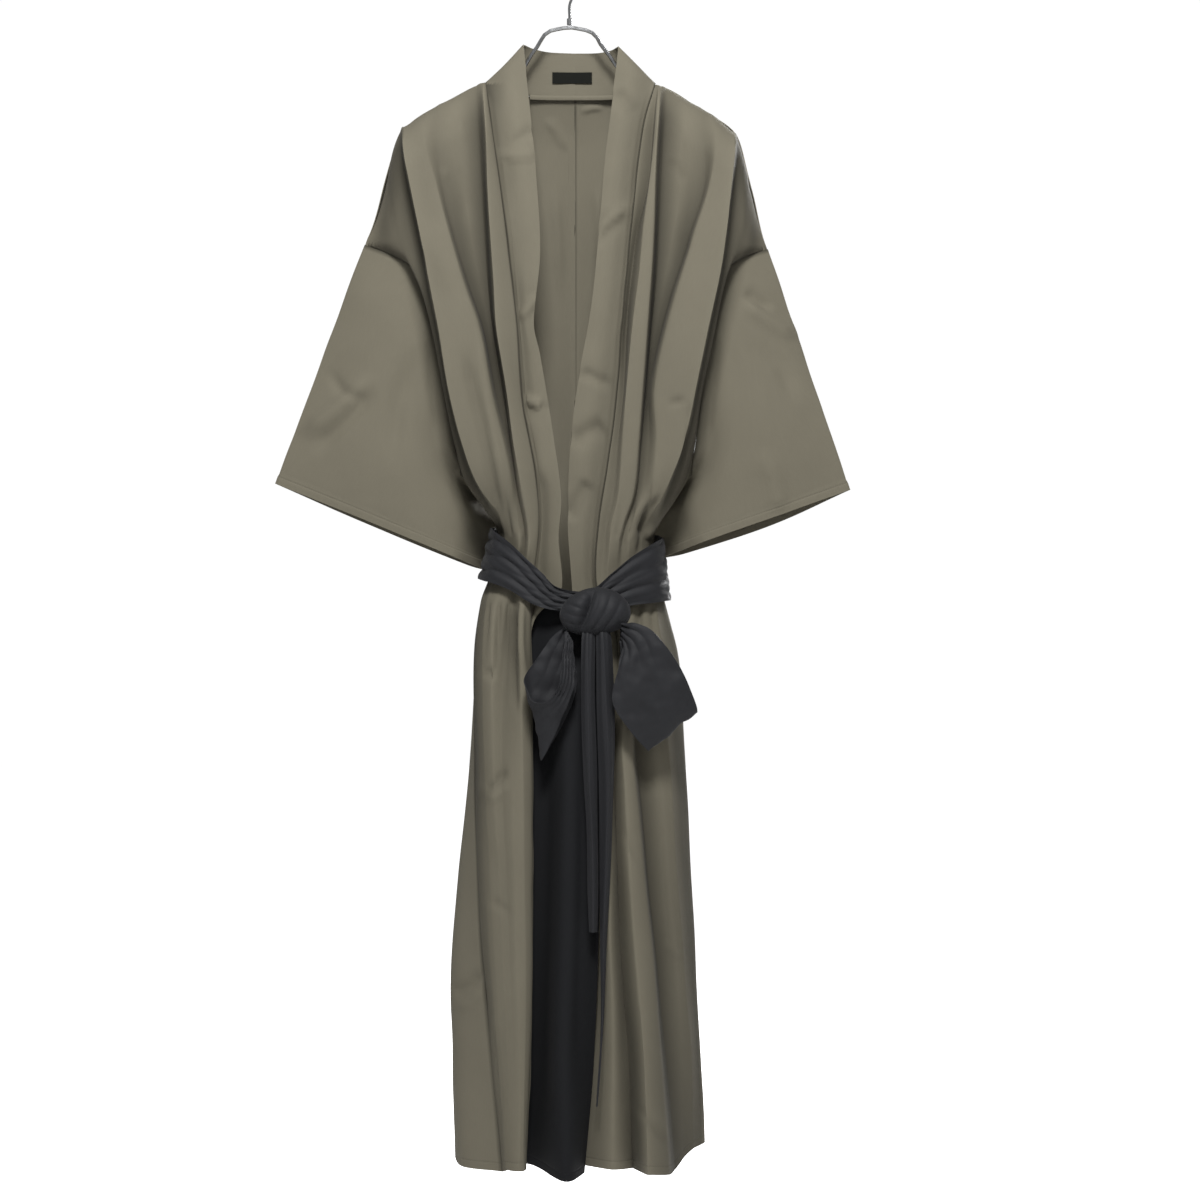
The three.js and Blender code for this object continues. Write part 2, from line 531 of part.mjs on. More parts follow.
// A sleeve: rings from the armhole to the cuff, each down the front layer and up the back one
function sleeveGrid(sleeve) {
  const top = sleeve.front[0][0];
  const drops = YOKE_STEPS.map((step) => lerp(top, YOKE_DROP, step)).concat(BODY_DROPS);
  const layer = (rows, cuff) => {
    const seam = drops.slice(0, ARM_ROWS).map((drop) => pointAt(rows, drop));
    const reach = [0];
    seam.slice(1).forEach((point, k) => reach.push(reach[k] + point.distanceTo(seam[k])));
    return seam.map((point, k) => {
      const share = reach[k] / reach[reach.length - 1];
      const [x, y, drop] = [1, 2, 3].map((column) => follow(cuff, column, share));
      const side = Math.sign(x);
      const full = Math.sin(Math.PI * share) * Math.sign(y);
      const end = new THREE.Vector3(x, y, -drop);
      return { point, end, full, side, kick: share, bow: share ** 6 };
    });
  };
  const front = layer(sleeve.front, sleeve.cuffFront);
  const back = layer(sleeve.back, sleeve.cuffBack).reverse().slice(1, -1);
  const grid = [];
  for (let row = 0; row <= SLEEVE_ROWS; row += 1) {
    const share = row / SLEEVE_ROWS;
    const swell = Math.sin(Math.PI * share) * SLEEVE_FULLNESS;
    grid.push(
      [...front, ...back].map(({ point, end, full, side, kick, bow }) => {
        const place = point.clone().lerp(end, share);
        place.x += side * kick * (ARM_CLEAR + SLEEVE_KICK * 4 * share * (1 - share) * (1 - share));
        place.x -= side * bow * follow(UNDERARM_BOW, 1, share);
        place.y += full * swell * 0.5 + bow * follow(UNDERARM_BEHIND, 1, share);
        return place;
      }),
    );
  }
  return grid;
}

// The sash round the waist as a closed ring, leaning in towards its top edge
function sashGrid() {
  const rows = [0, 0.34, 0.67, 1];
  const table = [...SASH, [360, ...SASH[0].slice(1)]];
  return rows.map((share) =>
    Array.from({ length: SASH_AROUND }, (unused, k) => {
      const turn = (k / SASH_AROUND) * 360;
      const [top, bottom, x, y, drawIn] = [1, 2, 3, 4, 5].map((column) => follow(table, column, turn));
      const draw = 1 - (drawIn * (1 - share)) / Math.hypot(x, y);
      return new THREE.Vector3(x * draw, y * draw, -lerp(top, bottom, share));
    }),
  );
}

// A rounded knot with a groove between its two lobes
function knotGeometry() {
  const geometry = new THREE.SphereGeometry(0.5, 22, 16);
  const position = geometry.getAttribute("position");
  for (let k = 0; k < position.count; k += 1) {
    const [x, y, z] = [position.getX(k), position.getY(k), position.getZ(k)];
    const front = Math.max(-y, 0) * 2;
    const groove = 1 - KNOT.groove * front * Math.exp(-((x + 0.08 - 0.2 * z) ** 2) / 0.008);
    const forward = KNOT.y + y * KNOT.depth * groove;
    position.setXYZ(k, KNOT.x + x * KNOT.width, forward, z * KNOT.height - KNOT.drop);
  }
  geometry.computeVertexNormals();
  return geometry;
}

// A bow loop: a strip of cloth that leaves the knot, turns round and comes back
function loopGrid(stations, steps, columns) {
  const keys = stations.map((station, k) => k);
  const edgeAt = (edge, at) => {
    const value = (axis) => along(keys, stations.map((station) => station[edge][axis]), at);
    return new THREE.Vector3(value(0), value(1), value(2));
  };
  return Array.from({ length: (stations.length - 1) * steps + 1 }, (unused, k) => {
    const one = edgeAt(0, k / steps);
    const other = edgeAt(1, k / steps);
    return Array.from({ length: columns + 1 }, (none, c) => one.clone().lerp(other, c / columns));
  });
}

// A hanging end of the sash, folded once along its length
function endGrid(rows, steps) {
  const count = (rows.length - 1) * steps;
  const keys = rows.map((row, k) => k);
  return Array.from({ length: count + 1 }, (unused, k) => {
    const value = (column) => along(keys, rows.map((row) => row[column]), k / steps);
    const [drop, ...values] = [0, 1, 2, 3, 4, 5, 6].map(value);
    const section = [values.slice(0, 2), values.slice(2, 4), values.slice(4, 6)];
    return [0, 0.5, 1, 1.5, 2].map((place) => {
      const [x, y] = across(section, place);
      return new THREE.Vector3(x, y, -drop);
    });
  });
}

// A round wire along a curve
function wire(points, radius, steps) {
  const shape = new THREE.Shape(new THREE.EllipseCurve(0, 0, radius, radius).getPoints(8).slice(0, 8));
  const path = new THREE.CatmullRomCurve3(points, false, "centripetal");
  return new THREE.ExtrudeGeometry(shape, { steps, extrudePath: path, bevelEnabled: false });
}

// The hanger's frame: the arch at the neck and the two arms that carry the shoulders
function frameGeometry() {
  const place = ([x, drop]) => new THREE.Vector3(x, 0, -drop);
  const seated = ([x, drop]) => new THREE.Vector3(x, 0, -drop - ARM_SEAT);
  const right = [...FRAME_RIGHT.map(place), ...ARM_LINE_RIGHT.map(seated)].reverse();
  const left = [...FRAME_LEFT.map(place), ...ARM_LINE_LEFT.map(seated)];
  return wire([...right, place(FRAME_MIDDLE), ...left], FRAME_WIRE, 56);
}

// The hook over the rail, with its stem down to the nut
function hookGeometry() {
  const radius = HOOK_RADIUS + HOOK_WIRE;
  const bend = Array.from({ length: 15 }, (unused, k) => {
    const angle = ((k * 17 - 40) * Math.PI) / 180;
    return new THREE.Vector3(radius * Math.cos(angle), 0, radius * Math.sin(angle) - HOOK_RADIUS);
  });
  const stem = [[STEM_X, 69.6], [STEM_X, 54], [3, 44]];
  const rise = stem.map(([x, drop]) => new THREE.Vector3(x, 0, -drop));
  return wire([...rise, ...bend], HOOK_WIRE, 48);
}

function nutGeometry() {
  const geometry = new THREE.CylinderGeometry(3.2, 3.2, 7, 12);
  geometry.rotateX(Math.PI / 2);
  geometry.translate(STEM_X, 0, -73.5);
  return geometry;
}

// The blank label, lying on the inner face of the stand
function labelGrid() {
  const clear = (CLOTH + LABEL_CLOTH) / 2 + 0.35;
  return [LABEL.top, LABEL.bottom].map((drop) =>
    [0, 0.25, 0.5, 0.75, 1].map((share) => {
      const x = lerp(LABEL.left, LABEL.right, share);
      const stand = lerp(27, 30, (drop - 104) / 50) - Math.abs(x - CENTRE_BACK_X) * 0.05;
      return new THREE.Vector3(x, stand - clear, -drop);
    }),
  );
}

const backGrid = (piece) => insetEdges(panelGrid(piece, 2), ["start", "end"]);
const bandRight = bandGrid(STAND_RIGHT, BAND_SEAM_RIGHT, FREE_EDGE_RIGHT, FRONT_RIGHT.tops[0], HEM_DROP);
const bandLeft = bandGrid(STAND_LEFT, BAND_SEAM_LEFT, FREE_EDGE_LEFT, FRONT_LEFT.tops[0], 734);

add("front_right", wall(insetEdges(panelGrid(FRONT_RIGHT, 3), ["start", "end"]), CLOTH), khaki);
add("front_left", wall(insetEdges(panelGrid(FRONT_LEFT, 3), ["start", "end"]), CLOTH), khaki);
add("back_right", wall(insetEdges(backGrid(BACK_RIGHT), ["top"], NECK_INSET), CLOTH), khaki);
add("back_left", wall(insetEdges(backGrid(BACK_LEFT), ["top"], NECK_INSET), CLOTH), khaki);
add("sleeve_right", wall(insetEdges(sleeveGrid(SLEEVE_RIGHT), ["top"], ARMHOLE_INSET), CLOTH, true), khaki);
add("sleeve_left", wall(insetEdges(sleeveGrid(SLEEVE_LEFT), ["top"], ARMHOLE_INSET), CLOTH, true), khaki);
add("band_right", wall(insetEdges(bandRight, ["top", "start"]), CLOTH), khaki);
add("band_left", wall(insetEdges(bandLeft, ["top", "start"]), CLOTH), khaki);
add("front_panel", wall(insetEdges(leadingPanelGrid(3), ["end"], PANEL_INSET), CLOTH), blackCloth);
add("label", wall(labelGrid(), LABEL_CLOTH), labelCloth);
add("sash_waist", wall(sashGrid(), SASH_CLOTH, true), sashCloth);
add("sash_knot", knotGeometry(), sashCloth);
add("sash_loop_right", wall(loopGrid(LOOP_RIGHT, 3, 4), SASH_CLOTH), sashCloth);
add("sash_loop_left", wall(loopGrid(LOOP_LEFT, 3, 4), SASH_CLOTH), sashCloth);
add("sash_end_right", wall(endGrid(END_RIGHT, 3), SASH_CLOTH), sashCloth);
add("sash_end_left", wall(endGrid(END_LEFT, 3), SASH_CLOTH), sashCloth);
add("hanger_frame", frameGeometry(), steel);
add("hanger_nut", nutGeometry(), steel);
add("hanger_hook", hookGeometry(), steel);

export default group;
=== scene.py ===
# %% [markdown]
# # A kimono coat on a wire hanger
# The coat hangs with its sash tied in a bow. Cloth has almost no thickness, so each sewn piece here
# is one fine grid of points, bent by its folds, pressed by its creases and then given a thin wall.
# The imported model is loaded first, because every piece has to lie where its solid lies.

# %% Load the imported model
import math

import bpy
import numpy as np
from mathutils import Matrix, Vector, noise


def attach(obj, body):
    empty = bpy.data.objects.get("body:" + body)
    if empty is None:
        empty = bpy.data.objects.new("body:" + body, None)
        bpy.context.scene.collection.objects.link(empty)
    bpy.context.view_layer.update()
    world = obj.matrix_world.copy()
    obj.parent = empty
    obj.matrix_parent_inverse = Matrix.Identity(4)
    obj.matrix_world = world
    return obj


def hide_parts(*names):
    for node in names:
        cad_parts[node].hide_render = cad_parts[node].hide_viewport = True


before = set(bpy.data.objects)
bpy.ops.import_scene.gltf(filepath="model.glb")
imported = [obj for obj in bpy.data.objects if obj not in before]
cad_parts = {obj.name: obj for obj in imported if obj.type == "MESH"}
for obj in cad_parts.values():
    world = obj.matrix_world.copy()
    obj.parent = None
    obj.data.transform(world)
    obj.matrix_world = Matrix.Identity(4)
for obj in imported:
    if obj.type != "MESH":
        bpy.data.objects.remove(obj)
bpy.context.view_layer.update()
MM = 0.001
print("nodes loaded:", len(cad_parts))

# %% [markdown]
# ## Camera
# The photo is taken level with the coat's middle, from almost three metres. A long lens keeps the
# outline nearly free of perspective, so the same view needs the same distance as well as the same frame.

# %% Camera
CAMERA_AT = (33.35, -2800, -738.3)
VIEW_WIDTH = 1380

camera_data = bpy.data.cameras.new("camera")
camera_data.sensor_width = 36
camera_data.lens = 36 * -CAMERA_AT[1] / VIEW_WIDTH
camera_data.clip_end = 30
camera = bpy.data.objects.new("camera", camera_data)
camera.location = Vector(CAMERA_AT) * MM
camera.rotation_euler = (math.radians(90), 0, 0)
bpy.context.scene.collection.objects.link(camera)
bpy.context.scene.camera = camera
print(f"lens {camera_data.lens:.1f} mm")

# %% [markdown]
# ## Curves through listed values
# A fold is given by its place at a few heights. One smooth curve through those values serves every
# table in this file, whether it runs down a seam or across the folds.

# %% Curves through tables


def along(keys, values, at):
    keys = np.asarray(keys, float)
    values = np.asarray(values, float)
    last = len(keys) - 1
    t = np.clip(at, keys[0], keys[last])
    i = np.clip(np.searchsorted(keys, t) - 1, 0, last - 1)
    before = np.maximum(np.arange(last + 1) - 1, 0)
    after = np.minimum(np.arange(last + 1) + 1, last)
    slopes = (values[after] - values[before]) / (keys[after] - keys[before])
    span = keys[i + 1] - keys[i]
    s = (t - keys[i]) / span
    blend = s * s * (3 - 2 * s)
    lead = s * (1 - s) ** 2 * span * slopes[i]
    trail = s * s * (1 - s) * span * slopes[i + 1]
    return values[i] + (values[i + 1] - values[i]) * blend + lead - trail


def follow(rows, column, at):
    return along([row[0] for row in rows], [row[column] for row in rows], at)


def points_at(rows, drops):
    return np.stack([follow(rows, 1, drops), follow(rows, 2, drops), -np.asarray(drops, float)], axis=-1)


print(f"a curve through 0, 10 and 0 stands at {along([0, 1, 2], [0, 10, 0], 0.5):.2f} a quarter of the way")

# %% [markdown]
# ## Seam lines and fold lines
# These are the maker's marks on the cloth, in millimetres below the rail. Neighbouring pieces share a
# seam's table, so their edges meet. Between two seams a piece names its folds, and each fold has a
# place across (x) and a depth (y) at every marked height.

# %% Seams
YOKE_DROP = 361
UNDERARM_DROP = 595
WAIST_SEAM_DROP = 736
HEM_DROP = 1368
HEM_EASE_DROP = 1100
SHOULDER_ROUND = 60
CENTRE_BACK_X = 4

BAND_SEAM_RIGHT = [
    [146, -97, -46], [215, -87, -56], [324, -72, -66], [428, -60, -70], [520, -53, -68], [595, -40, -64],
    [655, -36, -57], [710, -42, -52], [740, -45, -56], [800, -44, -62], [927, -42, -78], [1100, -42, -92],
    [1250, -44, -102], [1368, -49, -108],
]
BAND_SEAM_LEFT = [
    [145, 97, -46], [215, 80, -58], [324, 68, -66], [428, 58, -70], [520, 51, -66], [595, 40, -62],
    [655, 31, -58], [710, 28, -54], [740, 32, -55], [800, 38, -64], [927, 37, -80], [1100, 33, -92],
    [1250, 27, -98], [1368, 16, -96],
]
ARM_FRONT_RIGHT = [
    [331, -237, -1], [340, -216, -12], [350, -193, -21], [361, -173, -27], [395, -160, -29],
    [428, -153, -28], [520, -140, -22], [595, -124, -2],
]
ARM_BACK_RIGHT = [
    [331, -237, 1], [340, -216, 10], [350, -193, 17], [361, -173, 22], [395, -160, 22], [428, -153, 20],
    [520, -140, 14], [595, -124, 0],
]
ARM_FRONT_LEFT = [
    [336, 226, -1], [343, 208, -12], [351, 191, -21], [361, 174, -27], [395, 166, -29], [428, 160, -28],
    [520, 147, -22], [595, 136, -2],
]
ARM_BACK_LEFT = [
    [336, 226, 1], [343, 208, 10], [351, 191, 17], [361, 174, 22], [395, 166, 22], [428, 160, 20],
    [520, 147, 14], [595, 136, 0],
]
SIDE_RIGHT = [
    [595, -124, -1], [625, -105, -1], [655, -85, 0], [680, -85, 0], [710, -93, 0], [740, -103, -8],
    [800, -110, -23], [927, -109, -42], [1100, -101, -72], [1250, -87, -90], [1368, -75, -101],
]
SIDE_LEFT = [
    [595, 136, -1], [625, 119, -1], [655, 98, 0], [680, 95, 0], [710, 99, 0], [740, 107, 4],
    [800, 121, 10], [927, 130, 17], [1100, 138, 20], [1250, 144, 24], [1368, 148, 26],
]
CENTRE_BACK = [
    [150, CENTRE_BACK_X, 38], [215, CENTRE_BACK_X, 46], [361, CENTRE_BACK_X, 56], [520, CENTRE_BACK_X, 58],
    [595, CENTRE_BACK_X, 56], [655, CENTRE_BACK_X, 52], [710, CENTRE_BACK_X, 50], [740, CENTRE_BACK_X, 53],
    [800, CENTRE_BACK_X, 62], [927, CENTRE_BACK_X, 76], [1100, CENTRE_BACK_X, 86], [1368, CENTRE_BACK_X, 95],
]
print("heights marked along the band's seam:", len(BAND_SEAM_RIGHT))

# %% [markdown]
# ## Folds of the fronts
# Each front is one length of cloth whose fullness hangs in folds: a narrow strip beside the band, a
# recessed chest and a wide flat pleat from the shoulder to the waist. A simulation could drape it, but
# the photo fixes where each fold lies, so the folds are placed one by one. A row is one height, and its
# pairs are the places across and the depths of the crests and valleys. The crisp values say how sharply
# the cloth turns at each of them.

# %% Folds of the fronts
FRONT_RIGHT = dict(
    first=BAND_SEAM_RIGHT,
    last=ARM_FRONT_RIGHT + SIDE_RIGHT[1:],
    tops=[144.5, 145.5, 148.6, 169, 180, 196, 200, 254, 331],
    top_y=[-0.5] * 9,
    hem=[1368, 1368, 1368, 1368, 1368, 1368, 1369, 1370, 1372],
    crisp=[0, 0.9, 0.3, 0.6, 0.7, 1, 0.5, 0, 0],
    rows=[
        [150, [-100, -51], [-108, -40], [-150, -39], [-168, -44], [-191, -46], [-195, -32], [-216, -28]],
        [215, [-95, -63], [-104, -39], [-152, -45], [-166, -55], [-190, -60], [-194, -36], [-216, -28]],
        [270, [-93, -69], [-101, -41], [-144, -52], [-151, -63], [-180, -68], [-184, -41], [-207, -32]],
        [334, [-89, -74], [-97, -43], [-129, -56], [-134, -71], [-167, -76], [-171, -49], [-192, -40]],
        [390, [-85, -77], [-92, -44], [-113, -55], [-118, -74], [-156, -80], [-160, -55], [-168, -48]],
        [435, [-82, -78], [-87, -46], [-98, -55], [-103, -75], [-147, -81], [-150, -57], [-156, -50]],
        [502, [-72, -77], [-77, -50], [-84, -57], [-89, -74], [-136, -79], [-138, -56], [-143, -50]],
        [559, [-64, -74], [-68, -55], [-71, -59], [-76, -72], [-122, -74], [-124, -52], [-130, -46]],
        [604, [-56, -70], [-61, -56], [-63, -59], [-68, -66], [-106, -64], [-109, -42], [-118, -36]],
        [655, [-47, -61], [-52, -50], [-58, -56], [-66, -50], [-76, -42], [-80, -30], [-84, -20]],
        [680, [-47, -58], [-52, -50], [-58, -54], [-66, -46], [-76, -38], [-80, -27], [-84, -18]],
        [710, [-52, -52], [-60, -46], [-67, -46], [-75, -38], [-84, -31], [-88, -22], [-91, -15]],
        [740, [-56, -59], [-64, -48], [-72, -50], [-84, -48], [-95, -40], [-99, -31], [-102, -25]],
        [800, [-55, -70], [-66, -58], [-76, -54], [-88, -60], [-99, -52], [-103, -44], [-106, -38]],
        [927, [-53, -86], [-65, -82], [-76, -76], [-86, -77], [-96, -70], [-101, -62], [-104, -56]],
        [1100, [-50, -99], [-60, -100], [-68, -97], [-76, -96], [-85, -91], [-90, -87], [-94, -82]],
        [1250, [-50, -109], [-56, -110], [-62, -108], [-69, -106], [-75, -103], [-79, -100], [-81, -97]],
        [1368, [-52, -115], [-56, -117], [-60, -116], [-64, -114], [-69, -111], [-71, -109], [-72, -107]],
    ],
)
FRONT_LEFT = dict(
    first=BAND_SEAM_LEFT,
    last=ARM_FRONT_LEFT + SIDE_LEFT[1:],
    tops=[145.5, 145.9, 146.8, 148, 151, 173, 184, 202, 208, 264, 336],
    top_y=[-0.5] * 11,
    hem=[1366, 1366, 1368, 1367, 1372, 1376, 1368, 1362, 1361, 1360, 1360],
    crisp=[0, 0.3, 0.9, 0.6, 0.3, 0.6, 0.7, 1, 0.5, 0, 0],
    rows=[
        [150, [98, -46], [100, -50], [103, -50], [110, -39], [146, -39], [166, -44],
              [188, -46], [192, -32], [207, -28]],
        [211, [93, -52], [95, -62], [98, -64], [106, -40], [151, -44], [165, -55],
              [187, -60], [191, -37], [209, -30]],
        [270, [88, -56], [89, -69], [95, -70], [103, -43], [151, -50], [157, -64],
              [181, -68], [185, -41], [204, -34]],
        [324, [76, -58], [82, -74], [93, -74], [100, -44], [136, -52], [141, -70],
              [175, -76], [179, -49], [195, -40]],
        [372, [69, -60], [77, -77], [91, -76], [97, -45], [120, -53], [126, -73],
              [168, -79], [171, -55], [177, -48]],
        [435, [63, -62], [69, -79], [86, -77], [91, -46], [103, -54], [109, -74],
              [154, -81], [157, -57], [163, -50]],
        [503, [60, -64], [63, -76], [81, -74], [85, -50], [89, -56], [95, -72],
              [140, -78], [143, -55], [148, -48]],
        [559, [54, -62], [59, -71], [76, -70], [80, -52], [89, -58], [97, -69],
              [129, -72], [132, -50], [139, -42]],
        [620, [48, -58], [54, -65], [70, -62], [74, -50], [82, -56], [90, -61],
              [105, -58], [109, -38], [118, -30]],
        [655, [40, -54], [46, -60], [58, -58], [62, -50], [68, -55], [77, -48],
              [86, -40], [91, -30], [95, -20]],
        [680, [38, -52], [44, -57], [54, -53], [58, -48], [66, -50], [74, -44],
              [82, -37], [88, -27], [92, -18]],
        [710, [36, -52], [42, -54], [52, -50], [58, -48], [66, -46], [76, -40],
              [86, -33], [92, -23], [96, -15]],
        [740, [40, -56], [46, -53], [54, -53], [60, -52], [73, -46], [84, -42],
              [93, -36], [100, -25], [106, -14]],
        [800, [46, -68], [53, -60], [62, -66], [69, -66], [76, -54], [92, -52],
              [104, -46], [115, -28], [123, -12]],
        [890, [44, -84], [50, -74], [58, -86], [68, -82], [73, -64], [92, -64],
              [109, -58], [120, -35], [129, -14]],
        [957, [43, -94], [50, -80], [62, -96], [74, -88], [79, -66], [98, -66],
              [114, -58], [125, -35], [133, -14]],
        [1100, [44, -108], [55, -90], [70, -112], [87, -100], [92, -70], [108, -66],
               [124, -54], [133, -33], [140, -14]],
        [1180, [47, -112], [60, -94], [77, -120], [95, -106], [100, -70], [116, -60],
               [130, -48], [138, -29], [144, -12]],
        [1250, [48, -116], [65, -98], [82, -128], [101, -110], [107, -72], [122, -56],
               [136, -42], [143, -25], [148, -10]],
        [1368, [47, -118], [70, -100], [86, -138], [110, -116], [117, -72], [128, -50],
               [139, -34], [147, -19], [153, -6]],
    ],
)
print("crests and valleys across the fronts:", len(FRONT_RIGHT["hem"]), "and", len(FRONT_LEFT["hem"]))

# %% [markdown]
# ## Folds of the back
# The two halves of the back are cut like the fronts and meet in a seam down the centre. They aren't in
# the photo, so they hang in folds of the front's kind, softer and more even, with none of them crisp.
# Their edges follow the same seam tables as the fronts, which keeps the sides closed.

# %% Folds of the back
BACK_RIGHT = dict(
    first=CENTRE_BACK,
    last=ARM_BACK_RIGHT + SIDE_RIGHT[1:],
    tops=[154.8, 154.6, 152.2, 146.5, 166, 196, 254, 331],
    top_y=[30, 29, 20, 0.5, 0.5, 0.5, 0.5, 0.5],
    hem=[1368, 1368, 1368, 1368, 1368, 1370, 1374, 1372],
    crisp=[0] * 8,
    rows=[
        [150, [-30, 38], [-66, 34], [-98, 30], [-144, 30], [-191, 32], [-216, 22]],
        [215, [-32, 44], [-66, 44], [-98, 42], [-142, 44], [-190, 44], [-218, 28]],
        [324, [-32, 48], [-64, 53], [-94, 47], [-130, 53], [-168, 50], [-198, 34]],
        [361, [-32, 50], [-62, 56], [-92, 49], [-126, 56], [-158, 52], [-170, 40]],
        [428, [-30, 51], [-58, 58], [-84, 51], [-116, 58], [-144, 50], [-154, 38]],
        [520, [-27, 51], [-54, 58], [-78, 51], [-104, 56], [-128, 44], [-138, 30]],
        [595, [-24, 50], [-48, 56], [-70, 49], [-92, 50], [-112, 38], [-121, 20]],
        [655, [-20, 46], [-40, 51], [-56, 43], [-68, 38], [-78, 26], [-84, 12]],
        [710, [-21, 45], [-42, 49], [-60, 42], [-74, 36], [-85, 25], [-92, 12]],
        [740, [-23, 46], [-46, 52], [-64, 44], [-82, 43], [-95, 31], [-102, 12]],
        [800, [-26, 49], [-50, 62], [-70, 49], [-86, 54], [-100, 38], [-108, 8]],
        [927, [-28, 58], [-54, 78], [-76, 60], [-96, 66], [-110, 42], [-117, -2]],
        [1100, [-30, 64], [-58, 90], [-84, 68], [-106, 74], [-124, 44], [-131, -28]],
        [1190, [-31, 66], [-60, 94], [-87, 70], [-109, 76], [-128, 44], [-135, -38]],
        [1250, [-32, 68], [-62, 97], [-90, 72], [-112, 78], [-130, 42], [-131, -48]],
        [1368, [-34, 70], [-64, 100], [-92, 74], [-114, 80], [-129, 40], [-125, -60]],
    ],
)
BACK_LEFT = dict(
    first=CENTRE_BACK,
    last=ARM_BACK_LEFT + SIDE_LEFT[1:],
    tops=[154.8, 154.6, 152.2, 147, 171, 202, 264, 336],
    top_y=[30, 29, 20, 0.5, 0.5, 0.5, 0.5, 0.5],
    hem=[1368, 1368, 1368, 1366, 1364, 1362, 1360, 1360],
    crisp=[0] * 8,
    rows=[
        [150, [38, 38], [68, 34], [98, 30], [144, 30], [188, 32], [207, 22]],
        [215, [38, 44], [68, 44], [98, 42], [142, 44], [189, 44], [210, 28]],
        [324, [38, 48], [68, 53], [96, 47], [132, 53], [168, 50], [198, 34]],
        [361, [37, 50], [66, 56], [94, 49], [128, 56], [158, 52], [172, 40]],
        [428, [35, 51], [62, 58], [88, 51], [120, 58], [148, 50], [160, 38]],
        [520, [33, 51], [58, 58], [82, 51], [108, 56], [133, 44], [145, 30]],
        [595, [31, 50], [54, 56], [76, 49], [98, 50], [121, 38], [133, 20]],
        [655, [26, 46], [46, 51], [62, 43], [76, 37], [88, 26], [96, 12]],
        [710, [27, 45], [47, 49], [64, 42], [79, 36], [90, 25], [97, 12]],
        [740, [28, 46], [50, 52], [69, 44], [85, 40], [98, 29], [105, 16]],
        [800, [30, 49], [54, 62], [76, 49], [95, 54], [111, 40], [119, 26]],
        [927, [32, 58], [58, 78], [82, 60], [102, 66], [119, 48], [128, 33]],
        [1100, [34, 64], [62, 90], [88, 68], [111, 76], [129, 54], [137, 38]],
        [1250, [36, 68], [66, 97], [94, 72], [118, 80], [136, 56], [144, 41]],
        [1368, [38, 70], [68, 100], [96, 74], [121, 82], [140, 58], [149, 43]],
    ],
)

print("crests and valleys across each half of the back:", len(BACK_RIGHT["hem"]))

# %% [markdown]
# ## Folds of the black panel
# The panel is black cloth sewn to the left front below the waist. It is nearly flat, with one broad
# swell that grows towards the hem, so two marked folds between its edges are enough.

# %% Folds of the black panel
PANEL = dict(
    first=[
        [736, -60, -38], [800, -68, -40], [927, -76, -52], [1100, -82, -64], [1250, -84, -72],
        [1368, -84, -76],
    ],
    last=BAND_SEAM_LEFT,
    hem=[1368, 1368, 1376, 1374],
    crisp=[0] * 4,
    rows=[
        [736, [-38, -43], [0, -48]],
        [800, [-36, -46], [4, -64]],
        [927, [-38, -64], [4, -88]],
        [1100, [-40, -76], [0, -107]],
        [1250, [-42, -82], [-6, -121]],
        [1368, [-44, -84], [-5, -131]],
    ],
)

print("heights marked on the panel:", len(PANEL["rows"]))

# %% [markdown]
# ## Sections of the neck bands
# The neck band is one double strip that stands up behind the neck and then edges both fronts. It could
# be swept along its seam, but its free edge wanders as the cloth lies. So the stand has its own
# sections, from the seam to the free edge, and each front part has a table for its free edge.

# %% Sections of the neck bands
STAND_RIGHT = [
    [[CENTRE_BACK_X, 30, -155.2], [CENTRE_BACK_X, 27, -104]],
    [[-30, 29, -155], [-26, 25, -103]],
    [[-66, 20, -150.8], [-44, 15, -101]],
    [[-90, 7, -143.4], [-53, 3, -100]],
]
STAND_LEFT = [
    [[CENTRE_BACK_X, 30, -155.2], [CENTRE_BACK_X, 27, -104]],
    [[36, 29, -155], [30, 25, -104]],
    [[68, 20, -150.6], [46, 15, -103]],
    [[91, 7, -144], [53, 3, -102]],
]
FREE_EDGE_RIGHT = [
    [104, -54, -5], [122, -52, -14], [147, -50, -26], [193, -45, -42], [255, -39, -54], [347, -34, -62],
    [428, -41, -66], [462, -34, -66], [566, -17, -66], [623, -10, -65], [669, -13, -62], [727, -10, -60],
    [742, -24, -58], [760, -40, -54], [800, -50, -55], [850, -60, -60], [927, -74, -63],
    [1100, -74, -80], [1250, -68, -89], [1368, -62, -94],
]
FREE_EDGE_LEFT = [
    [106, 54, -5], [128, 52, -14], [152, 49, -26], [193, 45, -40], [232, 40, -48], [313, 33, -58],
    [405, 24, -63], [485, 10, -62], [554, 1, -58], [646, -3, -52], [727, 2, -48], [734, 2, -48],
]
BAND_DIP = 6
BAND_ROLL = 8
BAND_LEAN = 42
BAND_LEAN_FADE = 30
LEFT_BAND_END = 734
print("sections of the stand on each side:", len(STAND_RIGHT))

# %% [markdown]
# ## Cuffs and underarms
# A sleeve is a flat tube, longer at the top than under the arm, and its cuff is open. Its front and its
# back layer each have a table along the cuff, from the top fold to the underarm. Below the armhole the
# cloth bows in behind the body, as the photo shows, and two short tables hold that bow.

